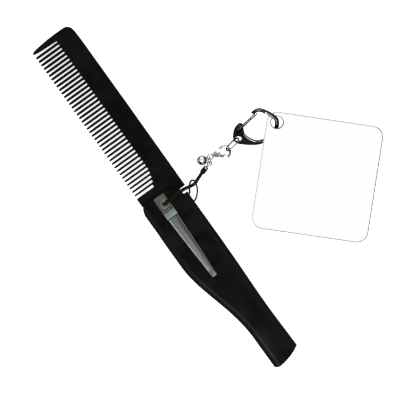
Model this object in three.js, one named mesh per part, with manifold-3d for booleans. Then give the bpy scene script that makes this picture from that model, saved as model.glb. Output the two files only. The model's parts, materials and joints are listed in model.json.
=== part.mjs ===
// Folding pocket comb with a pen-style clip, and a square pocket mirror that hangs from it on a wrist strap.
// Units are millimetres. +Z is up, from the table to the clip side. +X runs towards the tip of the open blade,
// and +Y towards the side of its teeth. Numbers are first laid out from the pivot, and the whole model is then
// moved so that the origin lies on the table under the middle of everything.
import * as THREE from 'three';
import { mergeVertices } from 'three/addons/utils/BufferGeometryUtils.js';
import Module from 'manifold-3d';

const wasm = await Module();
wasm.setup();

// Whole object: where the pivot stands from the middle of the footprint
const pivotFromMiddle = { x: -0.65, y: 43.15 };

// Handle
const handleTail = -87.4;            // x of the far end of the handle
const handleNose = 4.66;             // x of its end beyond the pivot
const partingHeight = 3.9;           // the two shells meet here
const partingGap = 0.1;
const handleThickness = 7.8;
const endLift = 1.1;                 // both faces draw in by this at the pivot, so the strap passes below
const tailLift = 0.7;
const shoulderWidth = 3.0;           // width of the rounded shoulder along each edge
const shoulderDrop = 1.7;
const channelHeight = 3.2;
const channelWall = -9.05;           // y of the inner face of the spine wall
const notchDepth = -9.3;             // y of the bottom of the strap's notch
const notchFrom = -1.28;             // x where the spine wall starts again
const stopLug = { from: -3.7, to: -1.28, y: -7.6 };

// Blade
const bladeThickness = 2.4;
const toothTipThickness = 1.6;
const teeth = 40;
const toothPitch = 1.899;
const firstToothX = 84.8;            // middle of the tooth next to the guard tooth
const toothTipY = 8.76;
const toothRootY = -3.1;
const toothWidth = { atTip: 1.12, atHandle: 0.76 };  // at the root, for the outermost and the innermost tooth
const toothPoint = 0.5;              // a tooth's width at its point, as a share of its root
const bladeTip = 88.7;               // x of the blade's outer end
const spineY = -12.3;
const tangRadius = 6.2;

// Pivot
const eyeletBore = 2.2;
const eyeletOuter = 3.0;
const eyeletFlange = 4.3;
const eyeletRim = 0.33;               // thickness of its rolled ends
const eyeletSeat = 0.45;              // depth of the recess for the lower one
const washerOuter = 7.0;
const washerThickness = 0.35;
const runningGap = 0.025;
const pivotPlay = 0.09;               // radial play of everything that turns on the rivet
const pinPlay = 0.07;                 // the same for the small pins

// Clip
const clipStock = 0.5;
const clipHead = { from: -2.7, to: 4.36, y0: -2.38, y1: 3.0 };
const clipStep = { run: 4.0, rise: 1.75 };
const clipTongue = { tip: -38.6, rootWidth: 4.9, tipWidth: 2.4, middleY: 0.35, tipRise: 2.0 };

// Strap
const cordDiameter = 0.75;

// Small chain, in its own frame: +X leads away from the comb, and +Y towards the outer side of the hook
const chain = { x: 3.8, y: -27.4, turn: -125.66 };
const jumpRing = { radius: 1.5, wire: 0.55 };
const crimp = { x: -2.5, y: -4.0, z: 1.36, turn: 50, outer: 1.3, bore: 0.95, length: 3.0, eyeAt: 3.5 };
const bell = { x: -3.75, y: 0.2, z: 2.5, radius: 2.45, wall: 0.32, slit: 0.7, slitTurn: -28 };
const clasp = { x: 6.2, y: 3.7, z: 1.36, turn: 19.1, bow: 2.55, eyeAt: -6.56 };
const link = { halfWidth: 1.45, wire: 0.6, lean: -56, inClasp: 1.42, claspAngle: 42, rise: -0.03 };
const hook = { x: 20.7, y: 14.7, z: 6.0, tilt: 34, plate: 1.1, cheeks: 1.8 };
const hookRod = { width: 1.5, thickness: 1.15 };
const hookEye = { x: -8.36, y: -6.2, r: 1.4 };
const gatePivot = { x: -7.7, y: -0.9 };
const gateTip = { x: -1.3, y: 6.45 };

// Mirror
const mirror = { side: 52, corner: 5, hole: 5.2, inset: 4.7, turn: -7.5 };
const mirrorLayers = { panel: 0.85, film: 0.04, backing: 0.11 };
const hookAtHole = { x: 8.5, y: 2.4 };     // where the hook's bar goes through the mirror, in the hook's plane

const finishes = {
  blackPlastic: { color: 0x141416, roughness: 0.22, metalness: 0 },
  combPlastic: { color: 0x17171a, roughness: 0.3, metalness: 0 },
  brushedSteel: { color: 0xb9bcc0, roughness: 0.34, metalness: 1 },
  nickel: { color: 0xc9c7c2, roughness: 0.16, metalness: 1 },
  gunmetal: { color: 0x5c6066, roughness: 0.2, metalness: 1 },
  nylon: { color: 0xd8d6cf, roughness: 0.6, metalness: 0 },
  cord: { color: 0x101012, roughness: 0.8, metalness: 0 },
  mirrorFace: { color: 0xf2f5f6, roughness: 0.03, metalness: 1 },
  mirrorBack: { color: 0x8d9196, roughness: 0.5, metalness: 0 },
};

const part = new THREE.Group();
const comb = new THREE.Group();
comb.position.set(pivotFromMiddle.x, pivotFromMiddle.y, 0);
part.add(comb);

function place(group, name, geometry, finish) {
  const mesh = new THREE.Mesh(geometry, new THREE.MeshStandardMaterial(finishes[finish]));
  mesh.name = name;
  group.add(mesh);
  return mesh;
}

// A closed geometry as a solid for cutting and joining
function solid(geometry) {
  const bare = geometry.clone();
  for (const name of Object.keys(bare.attributes)) if (name !== 'position') bare.deleteAttribute(name);
  const merged = mergeVertices(bare, 1e-5);
  const index = merged.index.array;
  const kept = [];
  for (let i = 0; i < index.length; i += 3) {
    const [a, b, c] = [index[i], index[i + 1], index[i + 2]];
    if (a !== b && b !== c && a !== c) kept.push(a, b, c);
  }
  const vertProperties = new Float32Array(merged.attributes.position.array);
  const closed = (corners) => {
    const triVerts = new Uint32Array(corners);
    return new wasm.Manifold(new wasm.Mesh({ numProp: 3, vertProperties, triVerts }));
  };
  const made = closed(kept);
  return made.volume() > 0 ? made : closed(kept.reverse());
}

function shaped(manifold) {
  const mesh = manifold.getMesh();
  const geometry = new THREE.BufferGeometry();
  geometry.setAttribute('position', new THREE.BufferAttribute(new Float32Array(mesh.vertProperties), 3));
  geometry.setIndex(new THREE.BufferAttribute(new Uint32Array(mesh.triVerts), 1));
  geometry.computeVertexNormals();
  return geometry;
}

function shapeOf(points) {
  return new THREE.Shape(points.map(([x, y]) => new THREE.Vector2(x, y)));
}

// A flat plate lying in XY, centred on z = 0, with an optional rounded edge
function plate(shape, thickness, edge = 0, steps = 2, curveSegments = 10) {
  const depth = thickness - 2 * edge;
  const geometry = new THREE.ExtrudeGeometry(shape, {
    depth, bevelEnabled: edge > 0, bevelThickness: edge, bevelSize: edge, bevelOffset: -edge,
    bevelSegments: steps, curveSegments,
  });
  geometry.translate(0, 0, -depth / 2);
  return geometry;
}

function block(x0, x1, y0, y1, z0, z1) {
  const geometry = new THREE.BoxGeometry(x1 - x0, y1 - y0, z1 - z0);
  geometry.translate((x0 + x1) / 2, (y0 + y1) / 2, (z0 + z1) / 2);
  return geometry;
}

// A post about Z, from z0 to z1
function post(radius, z0, z1, x = 0, y = 0, sides = 20) {
  const geometry = new THREE.CylinderGeometry(radius, radius, z1 - z0, sides);
  geometry.rotateX(Math.PI / 2);
  geometry.translate(x, y, (z0 + z1) / 2);
  return geometry;
}

// A turned piece about Z from a closed profile of [radius, z]
function turned(profile, sides = 28) {
  const closed = [...profile, profile[0]].map(([r, z]) => new THREE.Vector2(r, z));
  const geometry = new THREE.LatheGeometry(closed, sides);
  geometry.rotateX(Math.PI / 2);
  return shaped(solid(geometry));
}

// A skin over rings of points, all with as many points, closed at both ends
function loft(rings) {
  const around = rings[0].length;
  const points = rings.flat();
  const faces = [];
  for (let i = 0; i + 1 < rings.length; i++) {
    for (let j = 0; j < around; j++) {
      const [a, b] = [i * around + j, i * around + (j + 1) % around];
      faces.push(a, b, b + around, a, b + around, a + around);
    }
  }
  const last = (rings.length - 1) * around;
  for (let j = 1; j + 1 < around; j++) faces.push(0, j + 1, j, last, last + j, last + j + 1);
  const geometry = new THREE.BufferGeometry();
  geometry.setAttribute('position', new THREE.Float32BufferAttribute(points.flatMap((p) => [...p]), 3));
  geometry.setIndex(faces);
  return geometry;
}

// A wire of round or flattened section along a curve
function wire(curve, steps, halfAcross, halfNormal = halfAcross, sides = 8) {
  const section = new THREE.Shape();
  section.absellipse(0, 0, halfNormal, halfAcross, 0, Math.PI * 2);
  const rim = section.getSpacedPoints(sides).slice(0, sides);
  return new THREE.ExtrudeGeometry(new THREE.Shape(rim), { steps, extrudePath: curve, bevelEnabled: false });
}

const radians = THREE.MathUtils.degToRad;

// Handle: one rounded bar, split at mid height into two shells, with a channel for the blade between them

function ease(t) {
  const c = THREE.MathUtils.clamp(t, 0, 1);
  return c * c * (3 - 2 * c);
}

// The spine side is straight with a slight bow over the tail
function handleSpine(x) {
  return -11.26 + 0.6 * Math.exp(-(((x + 62) / 20) ** 2));
}

// The other side sweeps in from the broad body to the narrow tail
function handleBelly(x) {
  return 2.55 + 7.65 * ease(Math.max(0, (x + 72) / 45) ** 1.12);
}

function handleLift(x) {
  return endLift * ease((x + 22) / 14) + tailLift * ease((-66 - x) / 22);
}

function handleSection(x) {
  const [y0, y1] = [handleSpine(x), handleBelly(x)];
  const [z0, z1] = [handleLift(x), handleThickness - handleLift(x)];
  const [ry, rz] = [shoulderWidth, shoulderDrop];
  const ring = [];
  for (const [cy, cz, start] of [[y1 - ry, z1 - rz, 0], [y0 + ry, z1 - rz, 90], [y0 + ry, z0 + rz, 180],
    [y1 - ry, z0 + rz, 270]]) {
    for (let i = 0; i <= 5; i++) {
      const a = radians(start + i * 18);
      ring.push(new THREE.Vector3(x, cy + ry * Math.cos(a), cz + rz * Math.sin(a)));
    }
  }
  return ring;
}

// The plan that trims both ends: the slanted tail, the square nose, and the notch that the strap lies in
function handlePlan() {
  const plan = new THREE.Shape();
  plan.moveTo(-83.6, -13);
  plan.lineTo(notchFrom, -13);
  plan.lineTo(notchFrom, notchDepth - 0.6);
  plan.quadraticCurveTo(notchFrom, notchDepth, notchFrom + 0.6, notchDepth);
  plan.lineTo(0.9, notchDepth);
  plan.quadraticCurveTo(4.3, notchDepth + 0.9, handleNose, -0.5);
  plan.lineTo(handleNose, 6.9);
  plan.quadraticCurveTo(handleNose, 8.5, 3.3, 9.2);
  plan.quadraticCurveTo(1.6, 10.1, -0.3, 10.3);
  plan.lineTo(-0.4, 13);
  plan.lineTo(-84.8, 13);
  plan.lineTo(-85.2, 2.9);
  plan.quadraticCurveTo(-87.2, 2.4, handleTail, 0.2);
  plan.quadraticCurveTo(-87.1, -5.6, -84.2, -10.9);
  plan.closePath();
  return plan;
}

function channelPlan() {
  return shapeOf([
    [-95, channelWall], [stopLug.from, channelWall], [stopLug.from, stopLug.y], [stopLug.to, stopLug.y],
    [stopLug.to, -20], [20, -20], [20, 20], [-95, 20],
  ]);
}

function makeHandle() {
  const stations = [];
  for (let x = -90; x <= 8; x += 3.5) stations.push(handleSection(x));
  const bar = solid(loft(stations)).intersect(solid(plate(handlePlan(), 20, 0, 0, 8)));
  const channel = solid(plate(channelPlan(), channelHeight).translate(0, 0, partingHeight));
  const bore = solid(post(eyeletOuter / 2 + pivotPlay, -1, 9, 0, 0, 28));
  const seat = solid(post(eyeletFlange / 2 + pivotPlay, -1, endLift + eyeletSeat, 0, 0, 28));
  const body = bar.subtract(channel).subtract(bore).subtract(seat);
  const half = partingGap / 2;
  const front = body.intersect(solid(block(-99, 20, -20, 20, partingHeight + half, 12)));
  const back = body.intersect(solid(block(-99, 20, -20, 20, -2, partingHeight - half)));
  place(comb, 'handle_front_shell', shaped(front), 'blackPlastic');
  place(comb, 'handle_back_shell', shaped(back), 'blackPlastic');
}

// Blade: the spine, a guard tooth, forty tapered teeth with round roots, the shoulder and the tang

function slotRoot(x) {
  return toothRootY + 2.28 * (Math.max(0, 17.4 - x) / 7.7) ** 1.5;
}

function toothWidthAt(x) {
  return THREE.MathUtils.lerp(toothWidth.atHandle, toothWidth.atTip, (x - 10.8) / (firstToothX - 10.8));
}

function slotFloor(from, to) {
  const [middle, half] = [(from + to) / 2, (from - to) / 2];
  const floor = slotRoot(middle);
  return [0, 45, 90, 135, 180].map((d) => {
    const a = radians(d);
    return [middle + half * Math.cos(a), floor + half * (1 - Math.sin(a))];
  });
}

function bladePlan() {
  const points = [
    [1.5, -12.1], [45, spineY], [80, spineY], [84.6, -12.0], [87.4, -11.2], [88.5, -9.8], [bladeTip, -8],
    [bladeTip, -4], [88.2, 7.6], [87.6, 8.6], [87.1, toothTipY], [86.75, 8.5], [86.6, 7.8],
  ];
  const tooth = (i) => {
    const x = firstToothX - i * toothPitch;
    const half = toothWidthAt(x) / 2;
    return { x, half, point: half * toothPoint };
  };
  let edge = 86.2;
  for (let i = 0; i < teeth; i++) {
    const t = tooth(i);
    points.push(...slotFloor(edge, t.x + t.half));
    points.push([t.x + t.point, toothTipY - 0.3], [t.x + t.point * 0.4, toothTipY]);
    points.push([t.x - t.point * 0.4, toothTipY], [t.x - t.point, toothTipY - 0.3]);
    edge = t.x - t.half;
  }
  const shoulder = 8.89;
  points.push(...slotFloor(edge, shoulder));
  points.push([shoulder, 8.6], [8.6, 8.84], [4.3, 8.84], [3.9, 7.2], [-0.9, 7.0]);
  for (let d = 110; d <= 215; d += 15) {
    points.push([tangRadius * Math.cos(radians(d)), tangRadius * Math.sin(radians(d))]);
  }
  points.push([-4.2, -5.6], [-0.95, -7.5], [-0.95, -8.7], [1.0, -8.9], [1.5, -9.4]);
  return shapeOf(points);
}

function makeBlade() {
  const full = solid(plate(bladePlan(), bladeThickness));
  const [h, t] = [bladeThickness / 2, toothTipThickness / 2];
  const slope = (h - t) / (toothTipY - toothRootY);
  const wedge = (up) => {
    const far = toothTipY + 1;
    const clear = 2 * bladeThickness;
    const profile = [
      [toothRootY, up * h], [far, up * (h - slope * (far - toothRootY))],
      [far, up * clear], [toothRootY, up * clear],
    ];
    return solid(loft([9, 95].map((x) => profile.map(([y, z]) => new THREE.Vector3(x, y, z)))));
  };
  const hole = solid(post(eyeletOuter / 2 + pivotPlay, -3, 3, 0, 0, 28));
  const blade = full.subtract(wedge(1)).subtract(wedge(-1)).subtract(hole);
  place(comb, 'comb_blade', shaped(blade), 'combPlastic').position.z = partingHeight;
}

// Pivot: a hollow rivet with rolled ends, and a washer on each side of the blade

function makePivot() {
  const [r, R, f] = [eyeletBore / 2, eyeletOuter / 2, eyeletFlange / 2];
  const [low, high] = [endLift + 0.02, 7.6];
  const rim = eyeletRim;
  const profile = [
    [r, low + 0.4], [r + 0.15, low + 0.12], [R, low], [f - 0.2, low], [f, low + 0.15], [f - 0.1, low + rim],
    [R, low + rim], [R, high - rim], [f - 0.1, high - rim], [f, high - 0.15], [f - 0.2, high], [R, high],
    [r + 0.15, high - 0.12], [r, high - 0.4],
  ];
  place(comb, 'pivot_eyelet', turned(profile), 'nickel');
  const [inner, outer] = [eyeletOuter / 2 + pivotPlay, washerOuter / 2];
  const washer = turned([[inner, 0], [outer, 0], [outer, washerThickness], [inner, washerThickness]]);
  const bladeTop = partingHeight + bladeThickness / 2 + runningGap;
  const bladeBottom = partingHeight - bladeThickness / 2 - runningGap - washerThickness;
  place(comb, 'blade_washer_front', washer, 'nylon').position.z = bladeTop;
  place(comb, 'blade_washer_back', washer.clone(), 'nylon').position.z = bladeBottom;
}

// Pocket clip: a flat head under the rivet's rim, a step up, and a tapering spring tongue with a lifted tip

const clipUnderside = handleThickness - endLift + 0.05;

function makeClip() {
  const { from, to, y0, y1 } = clipHead;
  const c = 0.7;
  const head = new THREE.Shape();
  head.moveTo(from, y0);
  head.lineTo(to - c, y0);
  head.quadraticCurveTo(to, y0, to, y0 + c);
  head.lineTo(to, y1 - c);
  head.quadraticCurveTo(to, y1, to - c, y1);
  head.lineTo(from, y1);
  head.closePath();
  const flat = solid(plate(head, clipStock, 0, 0, 4).translate(0, 0, clipUnderside + clipStock / 2));
  const bored = flat.subtract(solid(post(eyeletOuter / 2 + pivotPlay, 5, 9, 0, 0, 28)));
  place(comb, 'pocket_clip_head', shaped(bored), 'brushedSteel');

  const start = from - 0.1;
  const z = clipUnderside;
  const stepEnd = start - clipStep.run;
  const path = [];
  for (let i = 0; i <= 8; i++) path.push([start - (clipStep.run * i) / 8, z + clipStep.rise * ease(i / 8)]);
  path.push([stepEnd - 8, z + clipStep.rise - 0.06], [stepEnd - 20, z + clipStep.rise - 0.26]);
  path.push([-33.4, z + 1.36], [-34.8, z + 1.3], [-36.0, z + 1.36], [-37.4, z + 1.62]);
  path.push([clipTongue.tip, z + clipTongue.tipRise]);
  const halfAt = (x) => {
    if (x > stepEnd) return (y1 - y0) / 2;
    const t = (stepEnd - x) / (stepEnd - clipTongue.tip);
    return THREE.MathUtils.lerp(clipTongue.rootWidth, clipTongue.tipWidth, t) / 2;
  };
  const rings = path.map(([x, low], i) => {
    const [a, b] = [path[Math.max(0, i - 1)], path[Math.min(path.length - 1, i + 1)]];
    const away = new THREE.Vector2(b[1] - a[1], a[0] - b[0]).normalize();
    const half = halfAt(x);
    const middle = clipTongue.middleY;
    const [tx, tz] = i === 0 ? [0, clipStock] : [away.x * clipStock, away.y * clipStock];
    return [[x, middle - half, low], [x, middle + half, low], [x + tx, middle + half, low + tz],
      [x + tx, middle - half, low + tz]].map((p) => new THREE.Vector3(...p));
  });
  place(comb, 'pocket_clip_tongue', shaped(solid(loft(rings))), 'brushedSteel');
}

// Strap: one cord, doubled through the rivet, with its loop drawn over its own two strands below the notch.
// Points run from the ferrule up over the front, down the rivet, round the hitch, and back the same way.

const strapRoute = [
  [2.41, -23.04, 1.36], [2.01, -21.49, 1.25], [0.95, -18.5, 0.6], [-0.1, -15.5, 1.2], [0.3, -12.9, 2.6],
  [0.68, -10.9, 6.0], [0.78, -8.9, 7.5], [0.74, -6.0, 7.4], [0.5, -2.6, 8.05], [0.42, -0.9, 8.25],
  [0.4, 0.2, 6.6], [0.4, 0.2, 1.8], [0.25, -1.1, 0.56],
  [-0.6, -4.5, 0.46], [-2.6, -8.6, 0.46], [-2.5, -11.6, 0.46], [-0.9, -12.75, 0.46], [0.9, -14.2, 0.55],
  [1.5, -15.6, 1.1], [0.5, -16.7, 2.0], [-0.9, -16.4, 2.25], [-2.4, -15.8, 1.5], [-4.0, -14.8, 0.6],
  [-6.2, -12.2, 0.46], [-6.3, -8.2, 0.46], [-3.6, -4.2, 0.46], [-1.0, -1.3, 0.56],
  [-0.4, 0.2, 1.8], [-0.4, 0.2, 6.6],
  [-0.36, -0.9, 8.25], [-0.28, -2.6, 8.05], [-0.06, -6.0, 7.4], [-0.02, -8.9, 7.5], [-0.12, -10.9, 6.0],
  [-0.5, -12.9, 2.6], [-0.9, -15.7, 1.2], [0.16, -18.7, 0.6], [1.25, -21.69, 1.25], [1.65, -23.24, 1.36],
];

function makeStrap() {
  const points = strapRoute.map((p) => new THREE.Vector3(...p));
  const route = new THREE.CatmullRomCurve3(points, false, 'centripetal');
  route.arcLengthDivisions = 800;
  place(comb, 'strap_cord', wire(route, 80, cordDiameter / 2), 'cord');
}

// Chain: everything between the ferrule and the mirror lies in one turned group

const chainGroup = new THREE.Group();
chainGroup.position.set(chain.x, chain.y, 0);
chainGroup.rotation.z = radians(chain.turn);
comb.add(chainGroup);

function subgroup(parent, x, y, z, turn = 0) {
  const group = new THREE.Group();
  group.position.set(x, y, z);
  group.rotation.z = radians(turn);
  parent.add(group);
  return group;
}

function hoop(mean, wireRadius, segments = 28, sides = 8) {
  return new THREE.TorusGeometry(mean, wireRadius, sides, segments);
}

function arc(radius, from, to, count) {
  const points = [];
  for (let i = 0; i <= count; i++) {
    const a = radians(THREE.MathUtils.lerp(from, to, i / count));
    points.push(new THREE.Vector3(radius * Math.cos(a), radius * Math.sin(a), 0));
  }
  return new THREE.CatmullRomCurve3(points);
}

function makeFerrule() {
  const { outer, bore, length, eyeAt } = crimp;
  const end = length / 2;
  const profile = [
    [0, 0.4], [bore, 0.4], [bore, -end], [outer - 0.12, -end], [outer, -end + 0.15], [outer, end - 0.7],
    [outer * 0.8, end - 0.15], [0.5, end + 0.1], [0, end + 0.1],
  ];
  const cup = turned(profile, 20).rotateY(Math.PI / 2);
  const eye = hoop(0.95, 0.28, 20).translate(eyeAt, 0, 0);
  const neck = block(end - 0.5, eyeAt - 0.85, -0.3, 0.3, -0.26, 0.26);
  const group = subgroup(chainGroup, crimp.x, crimp.y, crimp.z, crimp.turn);
  place(group, 'strap_ferrule', shaped(solid(cup).add(solid(eye)).add(solid(neck))), 'nickel');
  const ring = hoop(jumpRing.radius, jumpRing.wire / 2).rotateY(Math.PI / 2);
  place(chainGroup, 'jump_ring', ring, 'nickel').position.set(-0.2, 0.1, 1.85);
}

function makeBell() {
  const { x, y, z, radius, wall, slit, slitTurn } = bell;
  const ball = (r) => new THREE.SphereGeometry(r, 18, 12);
  const cut = block(-slit / 2, slit / 2, -1.75, 1.75, 0.8, 4).rotateY(radians(-slitTurn));
  const ends = [-1.75, 1.75].map((b) => solid(post(slit * 0.8, 0.8, 4, 0, b, 12).rotateY(radians(-slitTurn))));
  const eye = hoop(0.85, 0.22, 16, 6).rotateX(Math.PI / 2).translate(-0.45 - x, 0.1 - y, 3.25 - z);
  const shell = solid(ball(radius)).add(solid(eye)).subtract(solid(ball(radius - wall)));
  const group = subgroup(chainGroup, x, y, z);
  place(group, 'bell_shell', shaped(shell.subtract(solid(cut)).subtract(ends[0]).subtract(ends[1])), 'nickel');
  const clapper = new THREE.SphereGeometry(0.8, 14, 10);
  place(group, 'bell_clapper', clapper, 'nickel').position.z = -radius + wall + 0.8 + 0.06;
}

// Clasp: a round bow from the flat body over to the nose, and a sprung lever that closes against the nose
const claspPin = { x: -2.7, y: -1.0, r: 0.35 };
const claspEye = { outer: 1.45, hole: 0.95, thickness: 0.7 };

function makeClasp() {
  const group = subgroup(chainGroup, clasp.x, clasp.y, clasp.z, clasp.turn);
  const bow = wire(arc(clasp.bow, -82, 178, 24), 28, 0.62, 0.62, 10);
  const body = plate(shapeOf([
    [-5.5, -0.7], [-3.5, -1.75], [-2.1, -1.75], [-1.8, -0.9],
    [-1.85, 0.4], [-2.1, 1.6], [-3.4, 1.7], [-5.5, 0.7],
  ]), 2.2, 0.3);
  const half = claspEye.thickness / 2;
  const eye = post(claspEye.outer, -half, half, clasp.eyeAt, 0);
  const opening = post(claspEye.hole, -1, 1, clasp.eyeAt, 0);
  const slot = block(-3.7, 0, -3, -0.1, -0.5, 0.5);
  const bore = post(claspPin.r + pinPlay, -3, 3, claspPin.x, claspPin.y);
  const frame = solid(bow).add(solid(body)).add(solid(eye)).subtract(solid(opening));
  place(group, 'clasp_body', shaped(frame.subtract(solid(slot)).subtract(solid(bore))), 'nickel');
  const lever = plate(shapeOf([
    [-3.3, -0.6], [-2.7, -0.3], [-1.9, -0.55], [0.45, -0.92], [0.8, -1.2], [0.5, -1.52], [-0.5, -1.6],
    [-0.75, -2.25], [-1.2, -2.35], [-1.6, -1.7], [-2.5, -1.7], [-3.25, -1.4],
  ]), 0.8, 0.12, 1);
  place(group, 'clasp_lever', shaped(solid(lever).subtract(solid(bore))), 'nickel');
  place(group, 'clasp_pin', post(claspPin.r, -1.1, 1.1, claspPin.x, claspPin.y), 'nickel');
}

// Link: a long ring that stands almost on edge between the clasp's bow and the eye of the hook
function makeLink() {
  const [angle, tilt] = [radians(link.claspAngle), radians(hook.tilt)];
  const from = new THREE.Vector3(Math.cos(angle), Math.sin(angle), 0).multiplyScalar(link.inClasp);
  from.add(new THREE.Vector3(clasp.x, clasp.y, clasp.z + link.rise));
  const to = new THREE.Vector3(hookEye.x, hookEye.y * Math.cos(tilt), hookEye.y * Math.sin(tilt));
  to.add(new THREE.Vector3(hook.x, hook.y, hook.z));
  const along = to.clone().sub(from);
  const stretch = along.length() / 2 - link.halfWidth;
  const ring = hoop(link.halfWidth, link.wire / 2, 30, 8);
  const position = ring.attributes.position;
  for (let i = 0; i < position.count; i++) {
    const x = position.getX(i);
    position.setX(i, x + Math.sign(x) * stretch);
  }
  const mesh = place(chainGroup, 'link_ring', ring, 'nickel');
  mesh.position.copy(from.clone().add(to).multiplyScalar(0.5));
  const lengthwise = new THREE.Vector3(1, 0, 0);
  const aim = new THREE.Quaternion().setFromUnitVectors(lengthwise, along.normalize());
  const lean = new THREE.Quaternion().setFromAxisAngle(lengthwise, radians(link.lean));
  mesh.quaternion.copy(aim.multiply(lean));
}

// Hook: a flat body with an eye, a bar that sweeps right round from it to the nose, and a sprung gate
const hookGroup = new THREE.Group();
hookGroup.position.set(hook.x, hook.y, hook.z);
hookGroup.rotation.x = radians(hook.tilt);
chainGroup.add(hookGroup);

const hookBar = [
  [-2.1, 7.45], [0.65, 8.8], [4.0, 7.5], [6.9, 5.4], [8.3, 3.6], [8.5, 2.2],
  [8.45, 0.6], [7.7, -1.8], [5.9, -4.8], [3.2, -7.0], [0.4, -8.0], [-3.0, -7.9],
];
const hookOuterEdge = [
  [-9.4, 0.6], [-10.7, -2.1], [-10.8, -5.0], [-10.3, -7.0],
  [-9.0, -8.4], [-5.7, -9.0], [-2.3, -9.15], [0.6, -8.6],
];
const hookInnerEdge = [[-1.6, -7.0], [-3.1, -6.1], [-5.3, -4.0], [-6.2, -1.2], [-6.6, 1.4]];

function makeHook() {
  const bar = new THREE.CatmullRomCurve3(hookBar.map(([x, y]) => new THREE.Vector3(x, y, 0)));
  const outline = new THREE.Shape();
  outline.moveTo(-7.7, 2.1);
  outline.splineThru(hookOuterEdge.map((p) => new THREE.Vector2(...p)));
  outline.lineTo(0.6, -7.4);
  outline.splineThru(hookInnerEdge.map((p) => new THREE.Vector2(...p)));
  outline.closePath();
  const body = plate(outline, hook.plate, 0.25, 2, 3);
  const cheeks = plate(shapeOf([
    [-9.4, 0.6], [-10.6, -2.1], [-10.7, -3.7], [-5.7, -3.4], [-6.2, -1.2], [-6.7, 1.3], [-7.7, 2.0],
  ]), hook.cheeks, 0.25, 2);
  const eye = post(hookEye.r, -3, 3, hookEye.x, hookEye.y, 24);
  const slot = block(-9.0, -3, -2.1, 4, -0.5, 0.5);
  const bore = post(claspPin.r + pinPlay, -3, 3, gatePivot.x, gatePivot.y);
  const rod = wire(bar, 40, hookRod.width / 2, hookRod.thickness / 2, 10);
  const cast = solid(rod).add(solid(body)).add(solid(cheeks));
  const finished = cast.subtract(solid(eye)).subtract(solid(slot)).subtract(solid(bore));
  place(hookGroup, 'hook_body', shaped(finished), 'gunmetal');

  const reach = Math.hypot(gateTip.x - gatePivot.x, gateTip.y - gatePivot.y);
  const gate = new THREE.Shape();
  gate.absarc(0, 0, 0.95, radians(40), radians(320), false);
  gate.lineTo(reach - 0.4, -0.55);
  gate.absarc(reach - 0.4, 0, 0.55, radians(-90), radians(90), false);
  gate.closePath();
  const gateGeometry = plate(gate, 0.8, 0.15, 1, 8);
  gateGeometry.rotateZ(Math.atan2(gateTip.y - gatePivot.y, gateTip.x - gatePivot.x));
  gateGeometry.translate(gatePivot.x, gatePivot.y, 0);
  place(hookGroup, 'hook_gate', shaped(solid(gateGeometry).subtract(solid(bore))), 'nickel');
  place(hookGroup, 'hook_gate_pin', post(claspPin.r, -0.9, 0.9, gatePivot.x, gatePivot.y), 'nickel');
}

// Mirror: a rounded square of acrylic with a painted back, lifted at its corner hole by the hook's bar

function mirrorShape() {
  const { side, corner, inset, hole } = mirror;
  const [x0, x1, y0, y1] = [-inset, side - inset, inset - side, inset];
  const shape = new THREE.Shape();
  shape.moveTo(x0 + corner, y0);
  shape.absarc(x1 - corner, y0 + corner, corner, -Math.PI / 2, 0, false);
  shape.absarc(x1 - corner, y1 - corner, corner, 0, Math.PI / 2, false);
  shape.absarc(x0 + corner, y1 - corner, corner, Math.PI / 2, Math.PI, false);
  shape.absarc(x0 + corner, y0 + corner, corner, Math.PI, Math.PI * 1.5, false);
  const opening = new THREE.Path();
  opening.absarc(0, 0, hole / 2, 0, Math.PI * 2, true);
  shape.holes.push(opening);
  return shape;
}

function makeMirror() {
  const tilt = radians(hook.tilt);
  const height = hook.z + hookAtHole.y * Math.sin(tilt);
  const thickness = mirrorLayers.panel + mirrorLayers.film + mirrorLayers.backing;
  const reach = (mirror.side - mirror.inset - mirror.corner) * Math.SQRT2 + mirror.corner;
  const droop = Math.asin((height - thickness / 2 - 0.02) / reach);
  const group = subgroup(chainGroup, hook.x + hookAtHole.x, hook.y + hookAtHole.y * Math.cos(tilt), height);
  const far = radians(mirror.turn - 45);
  const across = new THREE.Vector3(-Math.sin(far), Math.cos(far), 0);
  const turn = new THREE.Quaternion().setFromAxisAngle(new THREE.Vector3(0, 0, 1), radians(mirror.turn));
  group.quaternion.copy(new THREE.Quaternion().setFromAxisAngle(across, droop).multiply(turn));
  const top = thickness / 2;
  const panel = plate(mirrorShape(), mirrorLayers.panel, 0.12, 1, 9);
  panel.translate(0, 0, top - mirrorLayers.panel / 2);
  const backing = plate(mirrorShape(), mirrorLayers.backing, 0, 0, 9);
  backing.translate(0, 0, -top + mirrorLayers.backing / 2);
  place(group, 'mirror_panel', panel, 'mirrorFace');
  place(group, 'mirror_backing', backing, 'mirrorBack');
}

makeHandle();
makeBlade();
makePivot();
makeClip();
makeStrap();
makeFerrule();
makeBell();
makeClasp();
makeLink();
makeHook();
makeMirror();

export default part;
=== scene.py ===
"""Folding pocket comb with a clip, and a square pocket mirror that hangs from it on a cord and a small chain.

Lengths are millimetres in the comb's own frames, and are turned to metres as each mesh is made. The comb's
frame has its origin on the table under the pivot, +X towards the blade's tip and +Y towards the teeth.
"""

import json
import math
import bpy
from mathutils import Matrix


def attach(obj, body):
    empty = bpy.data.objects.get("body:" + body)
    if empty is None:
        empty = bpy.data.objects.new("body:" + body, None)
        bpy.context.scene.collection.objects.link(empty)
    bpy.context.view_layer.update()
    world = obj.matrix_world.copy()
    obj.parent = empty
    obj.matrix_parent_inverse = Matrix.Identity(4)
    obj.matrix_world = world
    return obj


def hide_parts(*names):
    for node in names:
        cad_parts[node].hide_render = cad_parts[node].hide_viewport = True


bl_info = {
    "name": "Pocket mirror comb",
    "version": (1, 0, 0),
    "blender": (4, 5, 0),
    "location": "3D View > Sidebar > Mirror Comb",
    "description": "Builds a folding comb, its strap and chain, and the mirror around a packed frame",
    "category": "Object",
}

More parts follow.
